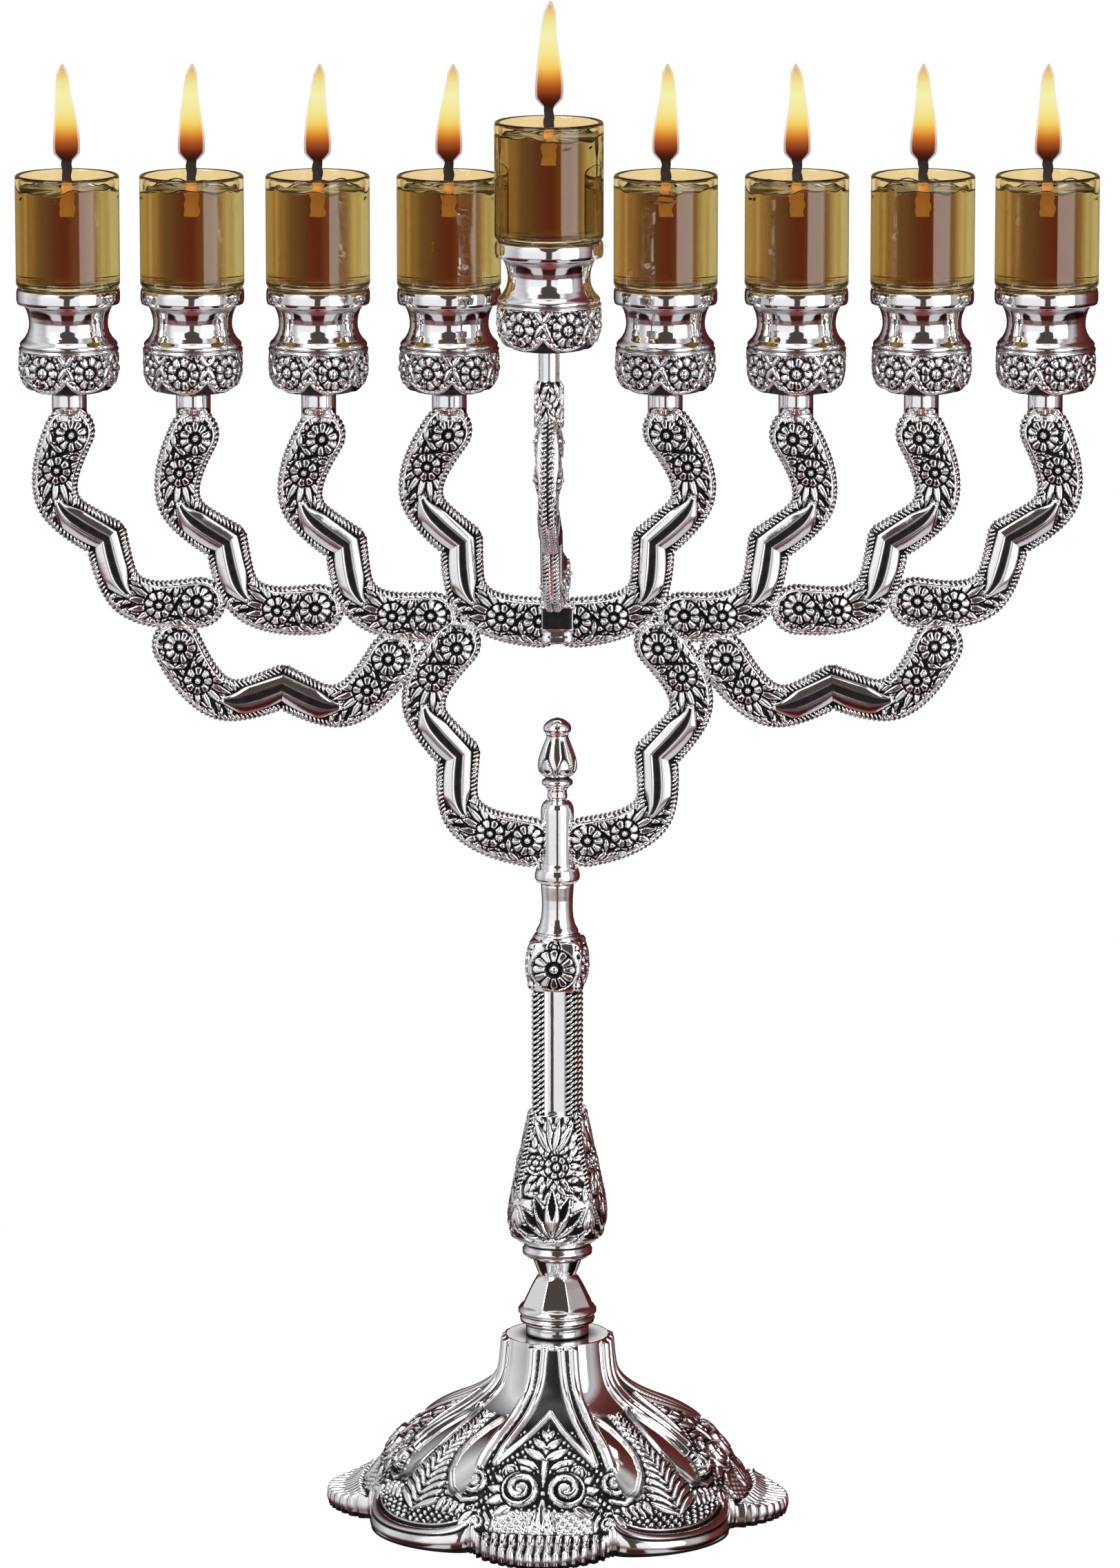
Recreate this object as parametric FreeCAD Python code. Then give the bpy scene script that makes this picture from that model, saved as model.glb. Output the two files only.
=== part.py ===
import FreeCAD, Part
import math
import os

from FreeCAD import Vector

# A nine-light oil menorah in silver-plated cast metal. Millimetres, +Z up, with the origin on the
# floor under the stem's axis. The arms lie in the XZ plane and -Y is the front.

# ---------------------------------------------------------------------------------------------
# Driving dimensions
# ---------------------------------------------------------------------------------------------

# Foot: a hollow flared casting with eight lobes, turned a little on the stem
FOOT_TURN = -5.0
FOOT_WALL = 2.3
FOOT_TOP = 49.2
FOOT_TIP_RADIUS = 62.5
FOOT_LOBE_RADIUS = 58.0
FOOT_NOTCH_RADIUS = 52.0
FOOT_NOTCH_ANGLE = 21.0
FOOT_OUTER = [(14.2, 49.2), (14.7, 44.0), (16.2, 37.5), (21.5, 32.0), (33.0, 26.0), (44.0, 18.0),
              (51.5, 8.5), (56.0, 4.6), (64.0, 3.2)]

# Stem
ROD_RADIUS = 2.0
ROD_BORE = 2.2
RING_Z = (54.1, 57.3)
CONE_TOP = 66.0
BULB_TOP = 112.2
SHAFT_TOP = 146.7
SHAFT_WIDTH = 12.4
COLLAR_TOP = 160.6
COLLAR_WIDTH = 17.4
NECK_TOP = 180.2
HUB_RADIUS = 4.5
HUB_TOP = 199.0
FINIAL_TOP = 221.8

# Arm casting: all thirteen are the same, two scrolls that meet in a pointed kink
ARM_HALF_THICKNESS = 2.8
ARM_FLOWER_HALF_THICKNESS = 4.3
ARM_FLOWER_RADIUS = 4.4
ARM_FLOWERS = [(28.2, 9.3), (22.9, 0.4)]
ARM_END_CENTRE = (29.1, 9.2)
ARM_END_RADIUS = 6.4
ARM_END_DIRECTION = (0.512, 0.859)
ARM_INNER_EDGE = [(18.7, 4.3), (13.9, 0.4), (9.0, 1.4), (0.0, 5.5)]
ARM_OUTER_EDGE = [(0.0, -6.2), (6.0, -8.6), (16.4, -10.1), (27.4, -3.8)]

# Where each left-hand arm's kink is (x, z) and how far it leans from upright, in degrees
BRANCH_PLACES = [((-121.7, 271.4), 36.5), ((-89.2, 270.3), 34.6), ((-56.9, 269.6), 31.1),
                 ((-25.6, 270.2), 25.7)]
CRADLE_PLACE = ((-74.5, 230.7), 86.6)
LOWER_ARM_PLACE = ((-26.5, 211.6), 19.8)
SHAMASH_PLACE = ((-30.0, 276.9), 42.0)
SHAMASH_TURN = -3.0

# Clip at the middle of the crossbar, with the shamash arm's post on top
CLIP_WIDTH = 9.0
CLIP_DEPTH = 9.4
CLIP_Z = (242.7, 253.5)
POST_RADIUS = 3.1
POST_TOP = 262.0

# Cups and their axes
CUP_X = [-131.5, -98.1, -64.3, -29.1]
CUP_Z = 311.0
CUP_HEIGHT = 28.5
CUP_NECK_RADIUS = 4.7
CUP_NECK_LENGTH = 8.0
SHAMASH_AXIS = (-2.2, -41.9)
SHAMASH_CUP_Z = 328.6
SHAMASH_SCALE = 1.03
SHAMASH_NECK_RADIUS = 2.8
SHAMASH_NECK_LENGTH = 20.5
STUD_RADIUS = 1.5
STUD_LENGTH = 4.0
SOCKET_RADIUS = 6.4
SOCKET_DEPTH = 14.0
# radius and height above the cup's bottom
CUP_PROFILE = [(9.0, 0.0), (11.6, 1.6), (12.9, 4.5), (13.1, 9.0), (12.6, 12.2), (13.0, 12.6),
               (13.0, 13.6), (11.6, 15.4), (10.6, 18.2), (10.9, 21.4), (11.8, 23.2), (13.9, 23.8),
               (14.15, 26.0), (13.9, 28.5)]

# Glass, jelled oil, wick and flame of one light
GLASS_RADIUS = 14.0
GLASS_WALL = 1.3
GLASS_FLOOR = 1.2
GLASS_HEIGHT = 30.4
GLASS_REST_GAP = 0.1
PEG_RADIUS = 6.1
PEG_LENGTH = 12.0
OIL_GAP = 0.05
OIL_LEVEL = 27.4
WICK_RADIUS = 1.5
WICK_BOTTOM = 19.6
WICK_TOP = 35.0
FLAME_HEIGHT = 25.2
# radius and share of the flame's height
FLAME_PROFILE = [(1.5, 0.0), (3.0, 0.1), (3.5, 0.24), (3.0, 0.45), (1.9, 0.7), (0.8, 0.9)]
SHAMASH_FLAME_HEIGHT = 27.0

os.makedirs("parts", exist_ok=True)
ORIGIN = Vector(0, 0, 0)
UP = Vector(0, 0, 1)
SIDEWAYS = Vector(1, 0, 0)


# ---------------------------------------------------------------------------------------------
# Helpers
# ---------------------------------------------------------------------------------------------

def write(name, *solids):
    """Write one node: a single solid, or a group of separate ones."""
    shape = solids[0] if len(solids) == 1 else Part.makeCompound(list(solids))
    shape.exportStep("parts/" + name + ".step")


def only_solid(shape):
    """The largest solid of a trimmed shape."""
    return max(shape.Solids, key=lambda solid: solid.Volume)


def cylinder(radius, bottom, top, x=0.0, y=0.0):
    return Part.makeCylinder(radius, top - bottom, Vector(x, y, bottom))


def turned(profile):
    """A solid turned about Z from (radius, height) corners that start and end off the axis."""
    outline = [(0.0, profile[0][1])] + list(profile) + [(0.0, profile[-1][1])]
    points = [Vector(radius, 0, height) for radius, height in outline]
    face = Part.Face(Part.makePolygon(points + [points[0]]))
    return face.revolve(ORIGIN, UP, 360)


def bored(solid, bottom, top):
    """The stem's pieces all have the tie rod's clearance bore."""
    return solid.cut(cylinder(ROD_BORE, bottom - 1, top + 1))


def smooth_curve(points):
    curve = Part.BSplineCurve()
    curve.interpolate(points)
    return curve.toShape()


def mirrored(shape):
    return shape.mirror(ORIGIN, SIDEWAYS)


# ---------------------------------------------------------------------------------------------
# Foot and its fastening
# ---------------------------------------------------------------------------------------------

def foot_radius(angle):
    """Plan radius of the rim: bowed lips every quarter turn and round lobes between them."""
    from_lip = abs((math.degrees(angle) + 45) % 90 - 45)
    lip = math.cos(math.pi / 2 * min(1.0, from_lip / FOOT_NOTCH_ANGLE))
    lobe = max(0.0, -math.cos(4 * angle)) ** 0.6
    reach = FOOT_NOTCH_RADIUS
    reach += (FOOT_TIP_RADIUS - FOOT_NOTCH_RADIUS) * lip
    reach += (FOOT_LOBE_RADIUS - FOOT_NOTCH_RADIUS) * lobe
    return reach


def foot():
    outer = [Vector(radius, 0, height) for radius, height in FOOT_OUTER]
    inner = [Vector(radius - FOOT_WALL, 0, height - FOOT_WALL) for radius, height in FOOT_OUTER]
    rim_radius = outer[-1].x
    edges = [
        smooth_curve(outer),
        Part.makeLine(outer[-1], Vector(rim_radius, 0, 0)),
        Part.makeLine(Vector(rim_radius, 0, 0), Vector(inner[-1].x, 0, 0)),
        Part.makeLine(Vector(inner[-1].x, 0, 0), inner[-1]),
        smooth_curve(inner),
        Part.makeLine(inner[0], Vector(0, 0, inner[0].z)),
        Part.makeLine(Vector(0, 0, inner[0].z), Vector(0, 0, outer[0].z)),
        Part.makeLine(Vector(0, 0, outer[0].z), outer[0]),
    ]
    shell = Part.Face(Part.Wire(Part.__sortEdges__(edges))).revolve(ORIGIN, UP, 360)
    steps = 144
    rim = []
    for step in range(steps):
        angle = 2 * math.pi * step / steps
        rim.append(Vector(foot_radius(angle) * math.cos(angle), foot_radius(angle) * math.sin(angle), -1))
    curve = Part.BSplineCurve()
    curve.interpolate(Points=rim, PeriodicFlag=True)
    plan = Part.Face(Part.Wire(curve.toShape())).extrude(Vector(0, 0, FOOT_TOP + 2))
    shell = only_solid(shell.common(plan))
    # The rim's wall is put back inside the lobed outline, so that the foot stands on it
    inset = (FOOT_NOTCH_RADIUS - 4.0) / FOOT_NOTCH_RADIUS
    inside = plan.copy()
    scale = FreeCAD.Matrix()
    scale.scale(Vector(inset, inset, 1))
    inside = inside.transformGeometry(scale)
    skirt_height = 3.6
    skirt = plan.cut(inside).common(Part.makeBox(200, 200, skirt_height, Vector(-100, -100, 0)))
    body = only_solid(shell.fuse(skirt))
    body = bored(body, FOOT_TOP - 2 * FOOT_WALL, FOOT_TOP)
    body.rotate(ORIGIN, UP, FOOT_TURN)
    return body


def foot_nut():
    """Hexagon nut and washer on the rod's lower end, inside the hollow foot."""
    underside = FOOT_TOP - FOOT_WALL
    washer_thickness = 1.0
    nut_height = 3.4
    nut_corner_radius = 4.0
    washer = cylinder(6.0, underside - washer_thickness, underside)
    washer = washer.cut(cylinder(ROD_BORE, underside - 2, underside + 1))
    nut_top = underside - washer_thickness
    corners = []
    for corner in range(7):
        angle = math.radians(60 * corner)
        corners.append(Vector(nut_corner_radius * math.cos(angle), nut_corner_radius * math.sin(angle),
                              nut_top - nut_height))
    nut = Part.Face(Part.makePolygon(corners)).extrude(Vector(0, 0, nut_height))
    nut = nut.cut(cylinder(ROD_RADIUS, nut_top - nut_height - 1, nut_top + 1))
    return washer, nut


# ---------------------------------------------------------------------------------------------
# Stem
# ---------------------------------------------------------------------------------------------

def stem_socket():
    """Ring and cone that stand on the foot."""
    low, high = RING_Z
    solid = turned([(8.6, FOOT_TOP), (9.0, low - 0.6), (10.4, low), (10.7, (low + high) / 2), (10.2, high),
                    (9.85, high + 0.1), (8.6, high + 2.2), (6.8, high + 5.4), (5.1, CONE_TOP)])
    return bored(solid, FOOT_TOP, CONE_TOP)


def stem_bulb():
    """Squared baluster bulb on two rings."""
    rings = turned([(4.9, CONE_TOP), (6.0, 68.6), (6.9, 70.9), (9.2, 71.7), (9.6, 73.0), (9.2, 74.3),
                    (8.6, 75.0)])
    turned_bulb = turned([(8.6, 75.0), (11.6, 77.6), (13.6, 81.0), (14.0, 84.6), (13.4, 89.5), (11.9, 95.0),
                          (10.3, 101.0), (9.0, 107.0), (8.4, BULB_TOP)])
    width = 25.0
    block = Part.makeBox(width, width, BULB_TOP - 70.0, Vector(-width / 2, -width / 2, 72.0))
    bulb = rings.fuse(turned_bulb.common(block)).removeSplitter()
    bulb = only_solid(bulb)
    bulb.rotate(ORIGIN, UP, FOOT_TURN)
    return bored(bulb, CONE_TOP, BULB_TOP)


def stem_shaft():
    """Square shaft with a shallow round channel down each face and a round cord on each edge."""
    half = SHAFT_WIDTH / 2
    cord_radius = 1.3
    channel_radius = 6.0
    channel_depth = 0.9
    height = SHAFT_TOP - BULB_TOP
    core = half - 0.6
    shaft = Part.makeBox(2 * core, 2 * core, height, Vector(-core, -core, BULB_TOP))
    for quarter in range(4):
        angle = math.radians(90 * quarter)
        distance = core + channel_radius - channel_depth
        shaft = shaft.cut(cylinder(channel_radius, BULB_TOP - 1, SHAFT_TOP + 1,
                                   distance * math.cos(angle), distance * math.sin(angle)))
    for quarter in range(4):
        angle = math.radians(45 + 90 * quarter)
        distance = math.sqrt(2) * (half - cord_radius)
        shaft = shaft.fuse(cylinder(cord_radius, BULB_TOP, SHAFT_TOP,
                                    distance * math.cos(angle), distance * math.sin(angle)))
    shaft = only_solid(shaft)
    shaft.rotate(ORIGIN, UP, FOOT_TURN)
    return bored(shaft, BULB_TOP, SHAFT_TOP)


def flower_collar():
    """Block with one flower on each of its four faces."""
    middle = (SHAFT_TOP + COLLAR_TOP) / 2
    height = COLLAR_TOP - SHAFT_TOP
    half = COLLAR_WIDTH / 2 - 1.6
    block = Part.makeBox(2 * half, 2 * half, height, Vector(-half, -half, SHAFT_TOP))
    block = block.makeFillet(2.2, [edge for edge in block.Edges if abs(edge.Length - height) < 0.01])
    for quarter in range(4):
        angle = math.radians(90 * quarter)
        outward = Vector(math.cos(angle), math.sin(angle), 0)
        flower = Part.makeCylinder(5.2, 1.6, Vector(0, 0, middle) + outward * half, outward)
        block = block.fuse(flower)
    block = only_solid(block)
    block.rotate(ORIGIN, UP, FOOT_TURN)
    return bored(block, SHAFT_TOP, COLLAR_TOP)


def stem_neck():
    solid = turned([(6.5, COLLAR_TOP), (6.3, 161.6), (5.7, 162.4), (5.5, 163.4), (4.7, 165.2), (4.2, 168.0),
                    (4.2, 171.4), (4.8, 174.6), (4.5, 175.8), (5.6, 176.3), (6.15, 178.2), (5.7, NECK_TOP)])
    return bored(solid, COLLAR_TOP, NECK_TOP)


def arm_hub():
    """Plain tube that the two lower arms are joined to."""
    solid = turned([(HUB_RADIUS + 0.4, NECK_TOP), (HUB_RADIUS, NECK_TOP + 1.2), (HUB_RADIUS, HUB_TOP - 3.0),
                    (HUB_RADIUS - 0.5, HUB_TOP - 1.2), (2.9, HUB_TOP)])
    return bored(solid, NECK_TOP, HUB_TOP)


def finial():
    solid = turned([(2.7, HUB_TOP), (2.65, 201.6), (3.9, 203.0), (4.1, 204.2), (3.6, 205.0), (5.3, 207.4),
                    (5.3, 209.6), (4.3, 213.0), (3.1, 216.4), (3.7, 218.4), (3.6, 219.6), (2.2, 221.0),
                    (0.9, FINIAL_TOP)])
    thread_top = 206.0
    return solid.cut(cylinder(ROD_RADIUS, HUB_TOP - 1, thread_top))


def tie_rod():
    """Threaded rod from the nut in the foot up into the finial."""
    return cylinder(ROD_RADIUS, 40.0, 205.8)


# ---------------------------------------------------------------------------------------------
# Arms
# ---------------------------------------------------------------------------------------------

def arm_casting():
    """One arm in its own place: the kink at the origin, its ends up and down Z, the hollow side to +X."""
    along, across = ARM_END_DIRECTION

    def point(pair):
        return Vector(pair[1], 0, pair[0])

    centre_u, centre_v = ARM_END_CENTRE
    end_outer = (centre_u + ARM_END_RADIUS * across, centre_v - ARM_END_RADIUS * along)
    end_inner = (centre_u - ARM_END_RADIUS * across, centre_v + ARM_END_RADIUS * along)
    end_tip = (centre_u + ARM_END_RADIUS * along, centre_v + ARM_END_RADIUS * across)
    edges = [
        smooth_curve([point(pair) for pair in ARM_OUTER_EDGE + [end_outer]]),
        Part.Arc(point(end_outer), point(end_tip), point(end_inner)).toShape(),
        smooth_curve([point(pair) for pair in [end_inner] + ARM_INNER_EDGE]),
        Part.makeLine(point(ARM_INNER_EDGE[-1]), point(ARM_OUTER_EDGE[0])),
    ]
    face = Part.Face(Part.Wire(Part.__sortEdges__(edges)))
    half = face.extrude(Vector(0, 2 * ARM_HALF_THICKNESS, 0))
    half.translate(Vector(0, -ARM_HALF_THICKNESS, 0))
    for u, v in ARM_FLOWERS:
        flower = Part.makeCylinder(ARM_FLOWER_RADIUS, 2 * ARM_FLOWER_HALF_THICKNESS,
                                   Vector(v, -ARM_FLOWER_HALF_THICKNESS, u), Vector(0, 1, 0))
        half = half.fuse(flower)
    other = half.mirror(ORIGIN, UP)
    return only_solid(half.fuse(other).removeSplitter())


def placed_arm(casting, place):
    (x, z), lean = place
    arm = casting.copy()
    arm.rotate(ORIGIN, Vector(0, 1, 0), -lean)
    arm.translate(Vector(x, 0, z))
    return arm


def centre_clip():
    """Square clip over the joint of the two middle branches, with the shamash arm's post."""
    low, high = CLIP_Z
    clip = Part.makeBox(CLIP_WIDTH, CLIP_DEPTH, high - low, Vector(-CLIP_WIDTH / 2, -CLIP_DEPTH / 2, low))
    post = cylinder(POST_RADIUS, high - 1, POST_TOP, 0.0, -1.4)
    return clip.fuse(post).removeSplitter()


# ---------------------------------------------------------------------------------------------
# Cups and lights
# ---------------------------------------------------------------------------------------------

def cup(scale, neck_radius, neck_length):
    """One cup with its neck and threaded stud; the cup's bottom is at the origin."""
    bowl = turned([(radius * scale, height * scale) for radius, height in CUP_PROFILE])
    top = CUP_HEIGHT * scale
    bowl = bowl.cut(cylinder(SOCKET_RADIUS, top - SOCKET_DEPTH, top + 1))
    bowl = bowl.fuse(cylinder(neck_radius, -neck_length, 0.5))
    bowl = bowl.fuse(cylinder(STUD_RADIUS, -neck_length - STUD_LENGTH, -neck_length + 1))
    return only_solid(bowl.removeSplitter())


def light(scale, flame_height):
    """Glass with its peg, the oil in it, and the wick with its flame; the cup's rim is at the origin."""
    radius = GLASS_RADIUS * scale
    bottom = GLASS_REST_GAP
    top = bottom + GLASS_HEIGHT * scale
    floor = bottom + GLASS_FLOOR
    level = bottom + OIL_LEVEL * scale
    glass = cylinder(radius, bottom, top).cut(cylinder(radius - GLASS_WALL, floor, top + 1))
    glass = glass.fuse(cylinder(PEG_RADIUS, bottom - PEG_LENGTH, bottom + 0.5)).removeSplitter()
    wick_bottom = bottom + WICK_BOTTOM * scale
    wick_top = bottom + WICK_TOP * scale
    oil = cylinder(radius - GLASS_WALL - OIL_GAP, floor, level)
    oil = oil.cut(cylinder(WICK_RADIUS, wick_bottom, level + 1))
    wick = cylinder(WICK_RADIUS, wick_bottom, wick_top)
    outline = [(flame_radius, wick_top + share * flame_height) for flame_radius, share in FLAME_PROFILE]
    flame = turned(outline + [(0.15, wick_top + flame_height)])
    return only_solid(glass), oil, wick, flame


def moved(shape, x, y, z):
    copy = shape.copy()
    copy.translate(Vector(x, y, z))
    return copy


# ---------------------------------------------------------------------------------------------
# The assembly
# ---------------------------------------------------------------------------------------------

write("base_foot", foot())
write("base_nut", *foot_nut())
write("tie_rod", tie_rod())
write("stem_socket", stem_socket())
write("stem_bulb", stem_bulb())
write("stem_shaft", stem_shaft())
write("stem_flower_collar", flower_collar())
write("stem_neck", stem_neck())
hub = arm_hub()
write("arm_hub", hub)
write("finial", finial())

casting = arm_casting()
clip = centre_clip()
hub_space = cylinder(HUB_RADIUS, NECK_TOP - 20, HUB_TOP + 20)

# Each outer branch ends on the next one inwards, and the middle ones end in the clip
branches = [placed_arm(casting, place) for place in BRANCH_PLACES]
branches[3] = only_solid(branches[3].cut(clip))
for index in (2, 1, 0):
    branches[index] = only_solid(branches[index].cut(branches[index + 1]))
cradle = placed_arm(casting, CRADLE_PLACE)
for branch in branches:
    cradle = only_solid(cradle.cut(branch))
lower_arm = only_solid(placed_arm(casting, LOWER_ARM_PLACE).cut(hub_space))
for piece in branches + [cradle]:
    lower_arm = only_solid(lower_arm.cut(piece))

shamash_arm = placed_arm(casting, SHAMASH_PLACE)
shamash_arm.rotate(ORIGIN, UP, 90 + SHAMASH_TURN)
clip = only_solid(clip.cut(shamash_arm))
write("centre_clip", clip)

side_cup = cup(1.0, CUP_NECK_RADIUS, CUP_NECK_LENGTH)
for index, branch in enumerate(branches):
    x = CUP_X[index]
    stud = cylinder(STUD_RADIUS, CUP_Z - CUP_NECK_LENGTH - STUD_LENGTH, CUP_Z, x)
    drilled = only_solid(branch.cut(stud))
    branch_cup = only_solid(moved(side_cup, x, 0, CUP_Z).cut(drilled))
    write("branch_" + str(index + 1), drilled)
    write("branch_" + str(8 - index), mirrored(drilled))
    write("cup_" + str(index + 1), branch_cup)
    write("cup_" + str(8 - index), mirrored(branch_cup))

write("cradle_left", cradle)
write("cradle_right", mirrored(cradle))
write("lower_arm_left", lower_arm)
write("lower_arm_right", mirrored(lower_arm))

# The shamash cup's slim neck sits in a seat cut into the end of its branch
shamash_x, shamash_y = SHAMASH_AXIS
shamash_cup = moved(cup(SHAMASH_SCALE, SHAMASH_NECK_RADIUS, SHAMASH_NECK_LENGTH),
                    shamash_x, shamash_y, SHAMASH_CUP_Z)
neck_bottom = SHAMASH_CUP_Z - SHAMASH_NECK_LENGTH
seat = cylinder(SHAMASH_NECK_RADIUS, neck_bottom, SHAMASH_CUP_Z, shamash_x, shamash_y)
stud = cylinder(STUD_RADIUS, neck_bottom - STUD_LENGTH, SHAMASH_CUP_Z, shamash_x, shamash_y)
write("shamash_branch", only_solid(shamash_arm.cut(seat).cut(stud)))
write("cup_shamash", shamash_cup)

lights = {}
for index, x in enumerate(CUP_X):
    lights[str(index + 1)] = (x, 0.0, CUP_Z + CUP_HEIGHT, 1.0, FLAME_HEIGHT)
    lights[str(8 - index)] = (-x, 0.0, CUP_Z + CUP_HEIGHT, 1.0, FLAME_HEIGHT)
lights["shamash"] = (shamash_x, shamash_y, SHAMASH_CUP_Z + CUP_HEIGHT * SHAMASH_SCALE, SHAMASH_SCALE,
                     SHAMASH_FLAME_HEIGHT)
for label, (x, y, z, scale, flame_height) in lights.items():
    glass, oil, wick, flame = [moved(piece, x, y, z) for piece in light(scale, flame_height)]
    write("glass_" + label, glass)
    write("oil_" + label, oil)
    write("wick_" + label, wick, flame)
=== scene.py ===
import math

import bmesh
import bpy
import numpy as np
from mathutils import Matrix, Vector


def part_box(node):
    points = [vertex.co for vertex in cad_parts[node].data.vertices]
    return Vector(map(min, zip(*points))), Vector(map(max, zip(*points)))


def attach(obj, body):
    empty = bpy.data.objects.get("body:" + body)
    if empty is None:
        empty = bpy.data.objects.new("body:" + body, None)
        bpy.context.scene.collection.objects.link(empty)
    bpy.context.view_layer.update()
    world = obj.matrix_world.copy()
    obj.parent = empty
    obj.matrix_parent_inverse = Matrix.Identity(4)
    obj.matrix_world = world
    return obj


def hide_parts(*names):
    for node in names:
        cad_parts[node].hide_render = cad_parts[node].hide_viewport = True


# A nine-light oil menorah: polished silver plate with blackened relief, glass cups of amber oil.
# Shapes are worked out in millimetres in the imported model's frame, and made in metres.

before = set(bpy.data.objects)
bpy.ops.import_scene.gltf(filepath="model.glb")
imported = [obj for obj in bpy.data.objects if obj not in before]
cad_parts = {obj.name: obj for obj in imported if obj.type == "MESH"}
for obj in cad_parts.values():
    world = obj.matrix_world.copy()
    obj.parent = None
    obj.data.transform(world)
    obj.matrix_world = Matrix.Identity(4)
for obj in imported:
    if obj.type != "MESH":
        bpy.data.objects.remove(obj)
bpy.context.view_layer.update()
MM = 0.001
LABELS = [str(number) for number in range(1, 9)] + ["shamash"]


# ---- Camera ----

CAMERA_PLACE = (0, -2.3, 0.66)
CAMERA_PITCH = 11.23
CAMERA_YAW = -0.018
CAMERA_LENS = 198


def make_camera():
    data = bpy.data.cameras.new("camera")
    data.lens = CAMERA_LENS
    data.clip_start = 0.1
    data.clip_end = 20
    camera = bpy.data.objects.new("camera", data)
    camera.location = CAMERA_PLACE
    camera.rotation_euler = (math.radians(90 - CAMERA_PITCH), 0, math.radians(CAMERA_YAW))
    bpy.context.scene.collection.objects.link(camera)
    bpy.context.scene.camera = camera


make_camera()


# ---- Materials ----

class Tree:
    """Adds nodes to the node tree of a material or a world."""

    def __init__(self, owner):
        owner.use_nodes = True
        self.nodes = owner.node_tree.nodes
        self.links = owner.node_tree.links

    def feed(self, socket, source):
        """Link the source if it is a socket, and set it as the socket's value otherwise."""
        if isinstance(source, bpy.types.NodeSocket):
            self.links.new(source, socket)
        else:
            socket.default_value = source

    def add(self, kind, **sources):
        """A new node; the sources are named like its inputs, with _ for a space."""
        node = self.nodes.new("ShaderNode" + kind)
        for name, source in sources.items():
            self.feed(node.inputs[name.replace("_", " ")], source)
        return node

    def math(self, operation, *sources):
        node = self.nodes.new("ShaderNodeMath")
        node.operation = operation
        for socket, source in zip(node.inputs, sources):
            self.feed(socket, source)
        return node.outputs["Value"]

    def ramp(self, source, stops):
        """A colour ramp of (position, colour) stops; one number stands for a grey."""
        node = self.add("ValToRGB", Fac=source)
        elements = node.color_ramp.elements
        while len(elements) < len(stops):
            elements.new(0.5)
        for element, (position, colour) in zip(elements, stops):
            element.position = position
            element.color = (*colour, 1) if isinstance(colour, tuple) else (colour, colour, colour, 1)
        return node.outputs["Color"]

    def noise(self, scale, detail=3):
        """Noise in object space, 0 to 1."""
        place = self.add("TexCoord").outputs["Object"]
        return self.add("TexNoise", Vector=place, Scale=scale, Detail=detail).outputs["Fac"]

    def remap(self, source, low, high):
        return self.add("MapRange", Value=source, To_Min=low, To_Max=high).outputs["Result"]

    def attribute(self, name):
        node = self.add("Attribute")
        node.attribute_name = name
        return node.outputs["Fac"]


def new_material(name, **sources):
    """A material whose shader inputs are given by name, with _ for a space."""
    material = bpy.data.materials.new(name)
    tree = Tree(material)
    shader = tree.nodes["Principled BSDF"]
    for socket, source in sources.items():
        tree.feed(shader.inputs[socket.replace("_", " ")], source)
    return material, tree, shader


def silver_material():
    """Polished silver plate; the "recess" attribute blackens the hollows of the relief as oxide, and also
    carries painted shade under ledges, in notches and inside the foot, and a painted dark reflection along
    the arms' ridges.
    """
    material, tree, shader = new_material("silver_plate", Metallic=1)
    recess = tree.attribute("recess")
    patchy = tree.math("MULTIPLY", recess, tree.remap(tree.noise(420), 0.75, 1.2))
    tint = tree.ramp(patchy, [(0, (0.93, 0.925, 0.92)), (0.3, (0.72, 0.71, 0.7)),
        (0.62, (0.06, 0.055, 0.055)), (1, (0.012, 0.011, 0.011))])
    tree.feed(shader.inputs["Base Color"], tint)
    rough = tree.math("MULTIPLY_ADD", recess, 0.4, tree.remap(tree.noise(60), 0.035, 0.12))
    tree.feed(shader.inputs["Roughness"], rough)
    bump = tree.add("Bump", Strength=0.12, Distance=0.0003, Height=tree.noise(260, 2))
    tree.feed(shader.inputs["Normal"], bump.outputs["Normal"])
    return material


def steel_material():
    material, tree, shader = new_material("zinc_steel", Metallic=1)
    tint = tree.ramp(tree.noise(300), [(0.3, (0.42, 0.42, 0.43)), (0.7, (0.62, 0.62, 0.6))])
    tree.feed(shader.inputs["Base Color"], tint)
    tree.feed(shader.inputs["Roughness"], tree.remap(tree.noise(500), 0.3, 0.5))
    return material


def oil_material():
    """Amber jelled oil: the light that crosses it turns yellow, then brown."""
    material, tree, _ = new_material("amber_oil", Base_Color=(1, 0.99, 0.95, 1), Transmission_Weight=1,
        IOR=1.45, Roughness=0)
    volume = tree.add("VolumeAbsorption", Color=(0.72, 0.62, 0.42, 1), Density=155)
    tree.feed(tree.nodes["Material Output"].inputs["Volume"], volume.outputs["Volume"])
    return material


def wick_material():
    """Waxed cotton, charred black above the oil, whose colour also glows as painted light; "rise" runs from
    0 at its foot to 1 at its tip.
    """
    material, tree, shader = new_material("cotton_wick_painted_glow", Roughness=0.85, Sheen_Weight=0.05,
        Emission_Strength=0.55)
    tint = tree.ramp(tree.attribute("rise"), [(0, (0.85, 0.42, 0.1)), (0.5, (0.7, 0.3, 0.06)),
        (0.58, (0.03, 0.02, 0.015)), (1, (0.008, 0.006, 0.005))])
    tree.feed(shader.inputs["Base Color"], tint)
    # Painted glow: the wick's own colour is fed to its emission, though the wick is no lamp.
    tree.feed(shader.inputs["Emission Color"], tint)
    return material


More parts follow.
